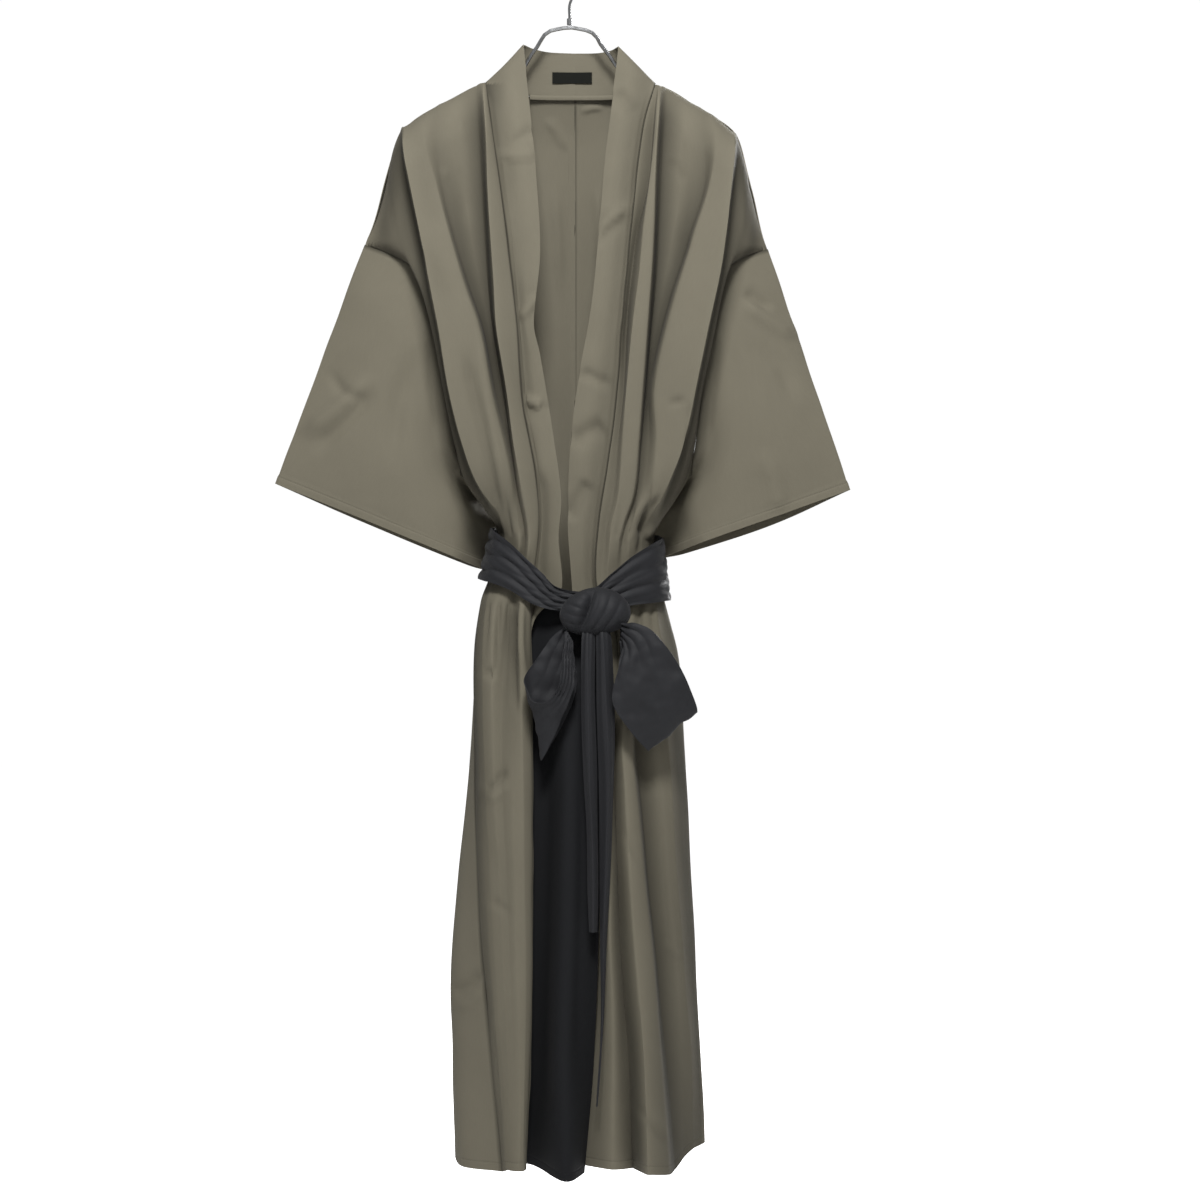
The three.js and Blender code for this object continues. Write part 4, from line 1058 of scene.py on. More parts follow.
def new_group(name, inputs, outputs):
    group = bpy.data.node_groups.new(name, "ShaderNodeTree")
    for label, value in inputs.items():
        kind = "NodeSocketVector" if label == "Vector" else "NodeSocketFloat"
        socket = group.interface.new_socket(label, in_out="INPUT", socket_type=kind)
        if value is not None:
            socket.default_value = value
    for label in outputs:
        group.interface.new_socket(label, in_out="OUTPUT", socket_type="NodeSocketFloat")
    return group, group.nodes.new("NodeGroupInput"), group.nodes.new("NodeGroupOutput")


def plug(tree, socket, value):
    if isinstance(value, bpy.types.NodeSocket):
        tree.links.new(value, socket)
    else:
        socket.default_value = value


def maths(tree, operation, *values):
    node = tree.nodes.new("ShaderNodeMath")
    node.operation = operation
    for socket, value in zip(node.inputs, values):
        plug(tree, socket, value)
    return node.outputs[0]


def bell(tree, value, centre, width):
    away = maths(tree, "DIVIDE", maths(tree, "SUBTRACT", value, centre), width)
    return maths(tree, "EXPONENT", maths(tree, "MULTIPLY", maths(tree, "MULTIPLY", away, away), -1.0))


def split(tree, vector):
    node = tree.nodes.new("ShaderNodeSeparateXYZ")
    tree.links.new(vector, node.inputs[0])
    return node.outputs[0], node.outputs[1]


def noise_value(tree, vector, scale, detail=2.0, roughness=0.5, stretch=(1, 1, 1)):
    mapping = tree.nodes.new("ShaderNodeMapping")
    mapping.inputs["Scale"].default_value = stretch
    tree.links.new(vector, mapping.inputs["Vector"])
    node = tree.nodes.new("ShaderNodeTexNoise")
    tree.links.new(mapping.outputs[0], node.inputs["Vector"])
    plug(tree, node.inputs["Scale"], scale)
    node.inputs["Detail"].default_value = detail
    node.inputs["Roughness"].default_value = roughness
    return node.outputs["Fac"]


GROUPS = {}
print("groups so far:", len(GROUPS))

# %% [markdown]
# ## Weave
# Twill has slanting ribs, because each weft thread passes over the warp one step further along. The ribs
# are a sine across the threads, and a finer grid of threads lies in them. Where threads are thicker, a
# slub makes the tone uneven. The slant is 0 for the plain weave of the sash.

# %% The weave group
RIB_SHARE = 0.65


def make_weave():
    inputs = {"Vector": None, "Pitch": 0.001, "Slant": 1.0}
    group, given, made = new_group("weave", inputs, ["Height", "Tone"])
    u, v = split(group, given.outputs["Vector"])
    pitch = given.outputs["Pitch"]
    turn = maths(group, "DIVIDE", math.pi, pitch)
    slanted = maths(group, "ADD", u, maths(group, "MULTIPLY", v, given.outputs["Slant"]))
    ribs = maths(group, "ABSOLUTE", maths(group, "SINE", maths(group, "MULTIPLY", slanted, turn)))
    double = maths(group, "MULTIPLY", turn, 2.0)
    warp = maths(group, "ABSOLUTE", maths(group, "SINE", maths(group, "MULTIPLY", u, double)))
    weft = maths(group, "ABSOLUTE", maths(group, "COSINE", maths(group, "MULTIPLY", v, double)))
    threads = maths(group, "MULTIPLY", warp, weft)
    rib_height = maths(group, "MULTIPLY", ribs, RIB_SHARE)
    height = maths(group, "ADD", rib_height, maths(group, "MULTIPLY", threads, 1 - RIB_SHARE))
    group.links.new(height, made.inputs["Height"])
    slub = noise_value(group, given.outputs["Vector"], 900.0, 3.0, 0.6, (1.0, 0.08, 1.0))
    group.links.new(maths(group, "MULTIPLY", slub, height), made.inputs["Tone"])
    return group


GROUPS["weave"] = make_weave()
print("nodes of the weave:", len(GROUPS["weave"].nodes))

# %% [markdown]
# ## Drift and rumple
# Dye never takes evenly, so the tone drifts slowly over the cloth. Handling leaves a soft rumple, finer
# than the creases that are pressed into the shape. It has narrow ridges, which a noise folded about its
# middle value gives.

# %% The drift and the rumple


def make_drift():
    group, given, made = new_group("tone_drift", {"Vector": None, "Scale": 9.0}, ["Tone"])
    slow = noise_value(group, given.outputs["Vector"], given.outputs["Scale"], 3.0, 0.55)
    group.links.new(slow, made.inputs["Tone"])
    return group


def make_rumple():
    group, given, made = new_group("rumple", {"Vector": None, "Scale": 30.0}, ["Height"])
    broad = noise_value(group, given.outputs["Vector"], given.outputs["Scale"], 2.0, 0.45, (1.0, 0.45, 1.0))
    ridged = maths(group, "ABSOLUTE", maths(group, "SUBTRACT", broad, 0.5))
    group.links.new(maths(group, "SUBTRACT", 0.5, ridged), made.inputs["Height"])
    return group


GROUPS["drift"] = make_drift()
GROUPS["rumple"] = make_rumple()
print("groups so far:", ", ".join(GROUPS))

# %% [markdown]
# ## Stitched hem
# The hem is turned in and held by one row of stitches, 9 mm above the edge. The needle pulls the cloth
# into a narrow groove, and the cloth puckers softly round it. The thread itself is a dashed line. All
# three are bells about that height, so they follow the hem wherever it hangs.

# %% The stitched hem
GROOVE_WIDTH = 0.0011
THREAD_WIDTH = 0.00035
PUCKER_WIDTH = 0.007
STITCH_GAP = -0.45


def make_hem_stitch():
    inputs = {"Vector": None, "Inset": 0.009, "Pitch": 0.003}
    group, given, made = new_group("hem_stitch", inputs, ["Groove", "Thread"])
    over, up = split(group, given.outputs["Vector"])
    groove = bell(group, up, given.outputs["Inset"], GROOVE_WIDTH)
    line = bell(group, up, given.outputs["Inset"], THREAD_WIDTH)
    turn = maths(group, "DIVIDE", 2 * math.pi, given.outputs["Pitch"])
    wave = maths(group, "SINE", maths(group, "MULTIPLY", over, turn))
    dash = maths(group, "GREATER_THAN", wave, STITCH_GAP)
    group.links.new(maths(group, "MULTIPLY", line, dash), made.inputs["Thread"])
    noisy = noise_value(group, given.outputs["Vector"], 140.0, 2.0, 0.5, (1.0, 0.2, 1.0))
    wide = bell(group, up, given.outputs["Inset"], PUCKER_WIDTH)
    pucker = maths(group, "MULTIPLY", maths(group, "MULTIPLY", wide, noisy), 1.4)
    group.links.new(maths(group, "ADD", groove, pucker), made.inputs["Groove"])
    return group


GROUPS["stitch"] = make_hem_stitch()
print("nodes of the stitching:", len(GROUPS["stitch"].nodes))

# %% [markdown]
# ## Painted shade in the folds
# The painted shade mask comes from the shape, as each piece's third map. The group only rounds off its top,
# so that the deepest painted shade doesn't end in a hard edge, and scales it by a strength.

# %% The painted shade group


def make_painted_shade():
    group, given, made = new_group("painted_shade", {"Depth": 0.0, "Strength": 0.7}, ["Mask"])
    soft = maths(group, "SMOOTH_MIN", given.outputs["Depth"], 1.0, 0.3)
    group.links.new(maths(group, "MULTIPLY", soft, given.outputs["Strength"]), made.inputs["Mask"])
    return group


GROUPS["painted_shade"] = make_painted_shade()
print("shared groups:", ", ".join(GROUPS))

# %% [markdown]
# ## Placing a group
# A material places the shared groups and feeds each from the map that it follows. The tone of a cloth
# runs from a little darker to a little lighter than its colour, by the same share for every cloth.

# %% Groups and tones in a material
TINT = 0.14


def place_group(tree, key, **values):
    node = tree.nodes.new("ShaderNodeGroup")
    node.node_tree = GROUPS[key]
    for label, value in values.items():
        plug(tree, node.inputs[label], value)
    return node.outputs


def map_of(tree, name):
    node = tree.nodes.new("ShaderNodeUVMap")
    node.uv_map = name
    return node.outputs[0]


def mixed(tree, factor, first, second):
    node = tree.nodes.new("ShaderNodeMix")
    node.data_type = "RGBA"
    for label, value in (("Factor", factor), ("A", first), ("B", second)):
        plug(tree, node.inputs[label], value)
    return node.outputs["Result"]


def times(colour, factor):
    return (*(min(c * factor, 1) for c in colour), 1)


def tinted(tree, colour, factor):
    return mixed(tree, factor, times(colour, 1 - TINT), times(colour, 1 + TINT))


print("tones run from", 1 - TINT, "to", 1 + TINT, "of a colour")

# %% [markdown]
# ## Cloth materials
# The coat is a dense twill with a dull face: high roughness, a little sheen and only a slow drift of
# tone. The sash is a thinner, closer cloth, which catches more light on its folds. The threads are only a
# bump of a few hundredths of a millimetre, because a real weave at this size would take millions of faces.

# %% Building a cloth
DRIFT_TONE = 0.6
WEAVE_TONE = 0.8
WEAVE_HEIGHT = 0.00006
STITCH_HEIGHT = 0.00035
THREAD_SHADE = 0.75
# Painted shade in the colour: its strength, and the share of the colour left in the deepest folds.
FOLD_SHADE = 0.85
PAINTED_SHADE_TONE = 0.13


def cloth_material(name, colour, pitch, slant, roughness, sheen, rumple, stitched=False):
    material = bpy.data.materials.new(name)
    material.use_nodes = True
    tree = material.node_tree
    shader = tree.nodes["Principled BSDF"]
    shader.inputs["Roughness"].default_value = roughness
    shader.inputs["Specular IOR Level"].default_value = 0.2
    shader.inputs["Sheen Weight"].default_value = sheen
    shader.inputs["Sheen Roughness"].default_value = 0.45
    threads = map_of(tree, "threads")
    weave = place_group(tree, "weave", Vector=threads, Pitch=pitch, Slant=slant)
    drift = place_group(tree, "drift", Vector=threads)
    folds = place_group(tree, "rumple", Vector=threads)
    slow_tone = maths(tree, "MULTIPLY", drift["Tone"], DRIFT_TONE)
    tone = maths(tree, "ADD", slow_tone, maths(tree, "MULTIPLY", weave["Tone"], WEAVE_TONE))
    thread_height = maths(tree, "MULTIPLY", weave["Height"], WEAVE_HEIGHT)
    height = maths(tree, "ADD", thread_height, maths(tree, "MULTIPLY", folds["Height"], rumple))
    if stitched:
        stitch = place_group(tree, "stitch", Vector=map_of(tree, "edges"))
        tone = maths(tree, "SUBTRACT", tone, maths(tree, "MULTIPLY", stitch["Thread"], THREAD_SHADE))
        height = maths(tree, "SUBTRACT", height, maths(tree, "MULTIPLY", stitch["Groove"], STITCH_HEIGHT))
    # Painted shade: the mask mixes the colour towards a dark copy of it in deep folds and along seams.
    deep = split(tree, map_of(tree, "painted_shade"))[0]
    painted_shade = place_group(tree, "painted_shade", Depth=deep, Strength=FOLD_SHADE)
    base = mixed(tree, painted_shade["Mask"], tinted(tree, colour, tone), times(colour, PAINTED_SHADE_TONE))
    tree.links.new(base, shader.inputs["Base Color"])
    bump = tree.nodes.new("ShaderNodeBump")
    bump.inputs["Distance"].default_value = 1.0
    tree.links.new(height, bump.inputs["Height"])
    tree.links.new(bump.outputs[0], shader.inputs["Normal"])
    return material


print("the deepest folds keep", round(1 - FOLD_SHADE * (1 - PAINTED_SHADE_TONE), 2), "of their colour")

# %% [markdown]
# ## The cloths
# The body is khaki twill, and the panel is the same twill in black. The sash is darker than the coat but
# not as deep as the panel, and the label is a plain dark patch. The bands have no stitched hem, so they
# take the khaki cloth without the stitching.

# %% Cloths
KHAKI = (0.160, 0.146, 0.109)
BLACK = (0.0085, 0.0090, 0.0105)
SASH_BLACK = (0.0195, 0.0200, 0.0225)
khaki = cloth_material("khaki twill", KHAKI, 0.0011, 1.0, 0.86, 0.02, 0.0004)
khaki_hemmed = cloth_material("khaki twill, stitched hem", KHAKI, 0.0011, 1.0, 0.86, 0.02, 0.0004, True)
black_hemmed = cloth_material("black twill, stitched hem", BLACK, 0.0011, 1.0, 0.8, 0.02, 0.0004, True)
sash_cloth = cloth_material("sash cloth", SASH_BLACK, 0.0006, 0.0, 0.6, 0.04, 0.0006)
label_cloth = cloth_material("blank label", (0.0075, 0.0080, 0.0064), 0.0005, 0.0, 0.9, 0.0, 0.0001)
print("cloths:", sum(m.name.count("cloth") + m.name.count("twill") for m in bpy.data.materials))

# %% [markdown]
# ## The coat's pieces
# Fronts and backs run from the shoulder line to the hem. Each is folded by its table, pressed by its
# creases and let out by half a millimetre at the seams that it shares. The coat hangs on the hanger's
# frame, so that is what most of its pieces rest on.

# %% Making a piece of the coat
SIDES = ["start", "end"]


def coat_piece(
    node, grid, material, thickness=CLOTH, closed=False, hem=1.0, crests=(), seams=()
):
    outward = BACK if node.startswith("back") else FRONT
    mesh = cloth_mesh(node + "_cloth", grid, thickness, closed, hem, outward, crests, seams)
    piece = add_piece(mesh, material, node)
    return piece


def upright(piece, creases, outward):
    grid = panel_grid(piece, COLUMNS_PER_FOLD)
    grid = facing(lapped(grid, SIDES), outward)
    grid = rolled(press(grid, creases, outward), SIDES, outward)
    return crumple(grid, 48.0, 1.5, len(creases), (1.0, 1.0, 0.5))


print("rows and columns of the left front:", upright(FRONT_LEFT, [], FRONT).shape[:2])

# %% [markdown]
# ## Creases of the fronts
# These are the creases that show in the photo: the edge of the flat pleat, drag lines at the armhole, and
# short folds that break across the skirt. Each is given as a line of x and drop, with a height, a
# width on either side and two fades. The right front's come first.

# %% Creases of the right front
RIGHT_FRONT_CREASES = [
    crease([(-121, 453), (-98, 542), (-84, 615), (-77, 656)], -3.0, 7, 5),
    crease([(-106, 430), (-92, 520), (-78, 600), (-70, 650)], 1.6, 5, 5),
    crease([(-146, 249), (-138, 265)], 1.3, 3, 3, (0.4, 0.4)),
    crease([(-128, 176), (-118, 250), (-116, 320)], -1.3, 12, 7),
    crease([(-176, 200), (-160, 262), (-150, 330)], -1.2, 9, 12),
    crease([(-170, 330), (-150, 372), (-140, 420)], -1.4, 6, 10, (0.4, 0.4)),
    crease([(-56, 735), (-56, 784), (-51, 824), (-51, 862)], 2.0, 4, 4),
    crease([(-63, 742), (-65, 800), (-60, 870)], -2.2, 4, 4),
    crease([(-98, 954), (-82, 944), (-68, 925)], -1.8, 4, 6, (0.3, 0.3)),
    crease([(-96, 966), (-80, 956), (-66, 940)], 1.4, 4, 6, (0.3, 0.3)),
    crease([(-89, 1071), (-76, 1079), (-63, 1086)], -1.3, 4, 4, (0.3, 0.4)),
    crease([(-96, 815), (-90, 822), (-82, 822)], -2.2, 6, 6, (0.3, 0.3)),
    crease([(-92, 1010), (-84, 1120), (-80, 1250)], 1.2, 9, 9),
]
print("creases of the right front:", len(RIGHT_FRONT_CREASES))

# %% [markdown]
# ## The left front
# The left front is pulled towards the knot, so its creases above the waist fan out from there. In the
# skirt it has short breaks where the cloth folds over itself.

# %% Creases of the left front
LEFT_FRONT_CREASES = [
    crease([(108, 519), (128, 514)], -2.0, 4, 4, (0.4, 0.2)),
    crease([(78, 664), (90, 640), (101, 618)], -3.2, 4, 5, (0.1, 0.3)),
    crease([(84, 668), (97, 646), (108, 624)], 2.2, 4, 4, (0.1, 0.4)),
    crease([(92, 600), (83, 648), (77, 690)], -2.4, 4, 5, (0.4, 0.1)),
    crease([(113, 238), (119, 250), (127, 266)], -1.6, 3, 5, (0.3, 0.3)),
    crease([(134, 514), (131, 555), (126, 594)], -1.6, 2.4, 2.4),
    crease([(120, 175), (124, 250), (116, 330), (108, 392)], -1.4, 9, 12),
    crease([(150, 200), (142, 270), (130, 350)], 1.2, 10, 10),
    crease([(74, 1290), (92, 1318), (111, 1346)], -1.3, 3, 5, (0.3, 0.3)),
    crease([(62, 990), (70, 1020), (78, 1034)], -1.2, 4, 6, (0.4, 0.4)),
    crease([(104, 1120), (118, 1135), (130, 1142)], 1.3, 5, 5, (0.4, 0.4)),
    crease([(58, 760), (62, 830), (64, 920)], -2.0, 4, 5, (0.1, 0.5)),
]
print("creases of the left front:", len(LEFT_FRONT_CREASES))

# %% [markdown]
# ## Creases of the back
# Only a little of the back shows in the photo: its inside, between the two bands. Those creases are
# placed as they look there. The rest are guessed, in the same kind and softer.

# %% Creases of the back, some of which show inside
RIGHT_BACK_CREASES = [
    crease([(-31, 175), (-18, 192), (-5, 216)], -1.5, 4, 6, (0.3, 0.3)),
    crease([(-20, 245), (-16, 320), (-14, 392)], -1.8, 6, 6, (0.3, 0.4)),
    crease([(-62, 330), (-40, 420), (-26, 520)], -1.6, 8, 10),
    crease([(-150, 300), (-110, 420), (-70, 560)], 2.0, 12, 12),
    crease([(-168, 230), (-120, 262), (-84, 268)], -1.5, 8, 8, (0.4, 0.4)),
    crease([(-133, 1184), (-112, 1172), (-95, 1154)], -2.6, 5, 7, (0.1, 0.3)),
    crease([(-128, 1200), (-110, 1190), (-96, 1172)], 1.6, 5, 6, (0.2, 0.3)),
    crease([(-70, 850), (-64, 1000), (-72, 1180)], 1.8, 10, 12),
]
LEFT_BACK_CREASES = [
    crease([(10, 170), (24, 166), (38, 166)], -1.3, 3, 4, (0.3, 0.3)),
    crease([(28, 245), (33, 300), (34, 360)], -1.6, 6, 6, (0.3, 0.4)),
    crease([(70, 340), (48, 430), (34, 520)], -1.6, 8, 10),
    crease([(156, 310), (116, 430), (76, 570)], 2.0, 12, 12),
    crease([(172, 240), (126, 268), (90, 276)], -1.5, 8, 8, (0.4, 0.4)),
    crease([(60, 840), (70, 1000), (64, 1200)], 1.8, 10, 12),
    crease([(120, 1010), (104, 1034), (84, 1040)], -1.4, 6, 6, (0.4, 0.4)),
]
print("creases of the back:", len(RIGHT_BACK_CREASES), "and", len(LEFT_BACK_CREASES))

# %% [markdown]
# ## Gathers at the waist
# The sash draws all four large pieces in. Each gets one row of gathers above it and one below. The backs
# take up more cloth, so theirs are deeper.

# %% Gathers above and below the sash
RIGHT_FRONT_CREASES += gathers([-92, -80, -70, -58], 742, 860, 1.4, 3.2, 0.04)
RIGHT_FRONT_CREASES += gathers([-78, -66, -56], 664, 560, 1.1, 3.0, 0.2)
LEFT_FRONT_CREASES += gathers([48, 64, 78, 92], 746, 870, 1.4, 3.4, 0.06)
LEFT_FRONT_CREASES += gathers([52, 66, 82], 668, 570, 1.1, 3.0, 0.2)
RIGHT_BACK_CREASES += gathers([-84, -68, -52, -36, -18], 730, 880, 1.8, 4.0, 0.12)
RIGHT_BACK_CREASES += gathers([-74, -58, -40, -22], 652, 520, 1.5, 4.0, 0.3)
LEFT_BACK_CREASES += gathers([18, 36, 54, 72, 90], 730, 880, 1.8, 4.0, 0.12)
LEFT_BACK_CREASES += gathers([20, 38, 58, 78], 652, 520, 1.5, 4.0, 0.3)
print("gathers have two creases each; the right back now has", len(RIGHT_BACK_CREASES), "creases")

# %% [markdown]
# ## The four large pieces
# A tailor would sew the side and shoulder seams and turn the hem. Here the pieces already meet along their
# shared tables, and the third map paints shade in a thin line along every sewn side, where the cloth dips in.

# %% The fronts and the backs
coat_piece("front_right", upright(FRONT_RIGHT, RIGHT_FRONT_CREASES, FRONT), khaki_hemmed, seams=SIDES)
coat_piece("front_left", upright(FRONT_LEFT, LEFT_FRONT_CREASES, FRONT), khaki_hemmed, seams=SIDES)
coat_piece("back_right", upright(BACK_RIGHT, RIGHT_BACK_CREASES, BACK), khaki_hemmed, seams=SIDES)
coat_piece("back_left", upright(BACK_LEFT, LEFT_BACK_CREASES, BACK), khaki_hemmed, seams=SIDES)

# %% [markdown]
# ## The seam allowance
# Inside the centre back the turned-in cloth of the seam stands a little proud, and the photo shows it
# below the neck. It is a narrow ribbon that follows the seam of the right half. It could be part of that
# half's grid, but the fold would need far more points than a ribbon of its own.

# %% The seam allowance inside the centre back
ALLOWANCE_WIDTH = 8.0
ALLOWANCE_LIFT = 1.3
ALLOWANCE_TOP = 158
ALLOWANCE_END = HEM_DROP - 12
ALLOWANCE_COLUMNS = 6

heights = np.linspace(ALLOWANCE_TOP, ALLOWANCE_END, 300)
drops = np.repeat(heights[:, None], ALLOWANCE_COLUMNS, axis=1)
allowance = folded_grid(BACK_RIGHT, drops, np.zeros(ALLOWANCE_COLUMNS))
allowance[..., 0] += np.linspace(-ALLOWANCE_WIDTH, 0.2, ALLOWANCE_COLUMNS)
allowance[..., 1] -= ALLOWANCE_LIFT
allowance[:, 0, 1] += 0.5
allowance = crumple(facing(allowance, BACK), 30.0, 0.5, 8, (1.0, 1.0, 0.4))
add_piece(cloth_mesh("back_seam_allowance", allowance, 0.8), khaki, "back_right")
print("the allowance is", ALLOWANCE_END - ALLOWANCE_TOP, "mm long")

# %% [markdown]
# ## The black panel
# The black panel hangs from the waist beside the left front and has the coat's own hem. Its edge stops a
# little over a millimetre short of the khaki cloth, so that black doesn't show through the fold.

# %% The black panel
PANEL_SET_BACK = 1.2
PANEL_COLUMNS = 20
PANEL_CREASES = [
    crease([(-6, 790), (-4, 950), (-8, 1120), (-12, 1340)], 2.2, 8, 9),
    crease([(-30, 780), (-26, 960), (-30, 1200), (-30, 1350)], -2.6, 9, 9),
    crease([(16, 800), (14, 1000), (8, 1300)], -2.0, 7, 8),
    crease([(-34, 880), (-18, 892), (-4, 888)], -1.2, 5, 5, (0.4, 0.4)),
]
panel = facing(lapped(skirt_panel_grid(PANEL, PANEL_COLUMNS), ["end"], -PANEL_SET_BACK), FRONT)
panel = press(panel, PANEL_CREASES, FRONT)
coat_piece("front_panel", crumple(panel, 60.0, 1.0, 3, (1.0, 1.0, 0.35)), black_hemmed)

# %% [markdown]
# ## Creases of the sleeves
# A wide sleeve hangs from the end of the hanger, and its weight pulls slanting folds from there towards
# the cuff. The creases are pressed into the front layer and the back layer alike, since both hang from
# the same fold.

# %% Creases of the sleeves
SLEEVE_CREASES = {
    "sleeve_right": [
        crease([(-225, 478), (-268, 520), (-314, 552)], 2.2, 9, 12, (0.3, 0.3)),
        crease([(-218, 492), (-256, 532), (-300, 572)], -1.8, 8, 9, (0.3, 0.3)),
        crease([(-176, 440), (-196, 520), (-204, 600)], -1.4, 14, 10, (0.4, 0.4)),
        crease([(-280, 470), (-262, 500), (-228, 512)], -1.2, 6, 6, (0.4, 0.4)),
        crease([(-160, 420), (-156, 500), (-148, 570)], -2.0, 8, 8, (0.3, 0.3)),
    ],
    "sleeve_left": [
        crease([(196, 384), (214, 398), (232, 410)], -1.8, 5, 7, (0.3, 0.4)),
        crease([(194, 396), (226, 420), (262, 440)], 2.0, 8, 8, (0.3, 0.3)),
        crease([(205, 432), (240, 470), (262, 520)], -1.6, 10, 12, (0.4, 0.4)),
        crease([(214, 560), (232, 600), (240, 640)], 1.4, 12, 12, (0.4, 0.2)),
        crease([(166, 430), (160, 510), (153, 580)], -2.0, 8, 8, (0.3, 0.3)),
    ],
}
print("creases of a sleeve:", len(SLEEVE_CREASES["sleeve_right"]))

# %% [markdown]
# ## The sleeves
# A sleeve laps the armhole by almost a millimetre, more than the other seams, because the cloth turns
# there and a gap would show. The flat pleat of the front stands before the sleeve and shades it, so that
# crest is named for the sleeve's painted shade map, which paints the pleat's shadow on the sleeve.
# The left sleeve's grid is turned round, so that its outer face looks outwards as well.

# %% Sleeves
SLEEVE_LAP = 0.9
# The crest of the front whose shadow is painted on each sleeve.
ARMHOLE_CRESTS = {"sleeve_right": (FRONT_RIGHT["rows"], 5), "sleeve_left": (FRONT_LEFT["rows"], 7)}

for node, sleeve in (("sleeve_right", SLEEVE_RIGHT), ("sleeve_left", SLEEVE_LEFT)):
    tube = lapped(sleeve_grid(sleeve), ["top"], SLEEVE_LAP)
    layer = (tube.shape[1] + 2) // 2
    press(tube, SLEEVE_CREASES[node], FRONT, slice(0, layer), closed=True, gain=SLEEVE_GAIN)
    press(tube, SLEEVE_CREASES[node], BACK, slice(layer, None), closed=True, gain=SLEEVE_GAIN)
    tube = crumple(tube, 60.0, 1.8, len(node), closed=True)
    if node == "sleeve_left":
        tube = np.ascontiguousarray(tube[:, ::-1])
    crests = [ARMHOLE_CRESTS[node]]
    coat_piece(node, tube, khaki_hemmed, closed=True, crests=crests, seams=["top"])

# %% [markdown]
# ## Creases of the bands
# The bands are double cloth, so they bend in few, broad creases. Those of the right band cross its stand
# and its chest part, and those of the left band are mostly pulled towards the knot.

# %% Creases of the bands
BAND_CREASES = {
    "band_right": [
        crease([(-68, 226), (-56, 214), (-43, 205)], 1.6, 5, 5, (0.3, 0.1)),
        crease([(-84, 233), (-62, 238), (-40, 236)], -1.8, 4, 4, (0.2, 0.1)),
        crease([(-61, 424), (-48, 412), (-37, 397)], -1.5, 5, 5, (0.3, 0.1)),
        crease([(-54, 512), (-44, 516), (-33, 521)], -2.4, 3, 6, (0.3, 0.1)),
        crease([(-46, 524), (-38, 560), (-28, 612)], -1.6, 7, 7, (0.2, 0.3)),
        crease([(-70, 260), (-64, 330), (-54, 400)], -1.2, 6, 8, (0.4, 0.4)),
    ],
    "band_left": [
        crease([(52, 156), (62, 172), (76, 186)], -2.2, 9, 9, (0.2, 0.3)),
        crease([(30, 323), (48, 306), (70, 291)], 1.6, 5, 5, (0.2, 0.3)),
        crease([(32, 336), (50, 318), (70, 303)], -1.3, 5, 5, (0.2, 0.3)),
        crease([(10, 480), (30, 490), (50, 497)], -1.6, 6, 6, (0.2, 0.3)),
        crease([(0, 560), (20, 550), (40, 540)], -2.2, 10, 10, (0.2, 0.2)),
        crease([(-5, 648), (8, 626), (22, 603)], -2.2, 9, 9, (0.2, 0.2)),
    ],
}
print("creases of a band:", len(BAND_CREASES["band_right"]))

# %% [markdown]
# ## The bands
# A band is cut as a strip of double cloth, folded along its free edge and sewn along the other. It is one
# and a half millimetres thick here. The strip of cloth beside the right band stands in front of it, so
# its crest is named for the right band's painted shade map, which paints that strip's shadow on the band.

# %% Bands
BAND_CLOTH = 1.5
BAND_LAP = 0.4
# The crest whose shadow is painted on each band, and a line of painted shade along its seam.
BAND_CRESTS = {"band_right": [(FRONT_RIGHT["rows"], 1)], "band_left": []}

for node, grid in (("band_right", right_band), ("band_left", left_band)):
    grid = facing(lapped(grid, ["top", "start"], BAND_LAP), FRONT)
    grid = crumple(press(grid, BAND_CREASES[node], FRONT, gain=BAND_GAIN), 40.0, 1.0, 5)
    coat_piece(node, grid, khaki, BAND_CLOTH, hem=0.0, crests=BAND_CRESTS[node], seams=["start"])

# %% [markdown]
# ## The tape
# Under the stand, a narrow tape covers the seam on the inside. It is a strip of the coat's cloth that
# follows the curve of the neck and swells a little in its middle.

# %% The tape inside the stand's seam
TAPE_TOP = 152.6
TAPE_WIDTH = 5.2
TAPE_INSET = 1.7
TAPE_SWELL = 0.5
TAPE_CURVE = [[-62, 21.0], [-30, 28.6], [4, 29.6], [36, 28.6], [64, 21.0]]

tape_x = np.linspace(-48, 50, 60)
tape_y = follow(TAPE_CURVE, 1, tape_x)
tape = []
for s in np.linspace(0, 1, 7):
    line_y = tape_y - TAPE_INSET - TAPE_SWELL * math.sin(math.pi * s)
    tape.append(np.column_stack([tape_x, line_y, np.full(len(tape_x), -TAPE_TOP - TAPE_WIDTH * s)]))
tape = facing(np.array(tape), FRONT)
add_piece(cloth_mesh("stand_seam_tape", tape, 0.7), khaki, "back_right")
print("points of the tape:", tape.shape[:2])

# %% [markdown]
# ## The label
# A small patch is sewn to the inner face of the stand. It is left bare. It lies just in front of the
# stand, which leans back a little towards its foot and curves round the neck.

# %% The label
STAND_TOP = 104
STAND_TOP_Y = 27
STAND_SLOPE = 0.06
STAND_CURVE = 0.05
LABEL_INSET = 1.65

label_x = np.linspace(-22, 24, 24)
label = []
for drop in np.linspace(126, 138.5, 8):
    line_y = STAND_TOP_Y + (drop - STAND_TOP) * STAND_SLOPE - LABEL_INSET
    line_y = line_y - np.abs(label_x - CENTRE_BACK_X) * STAND_CURVE
    label.append(np.column_stack([label_x, line_y, np.full(len(label_x), -drop)]))
label = np.array(label)
label_piece = add_piece(cloth_mesh("label_cloth", label, 1.0), label_cloth, "label")

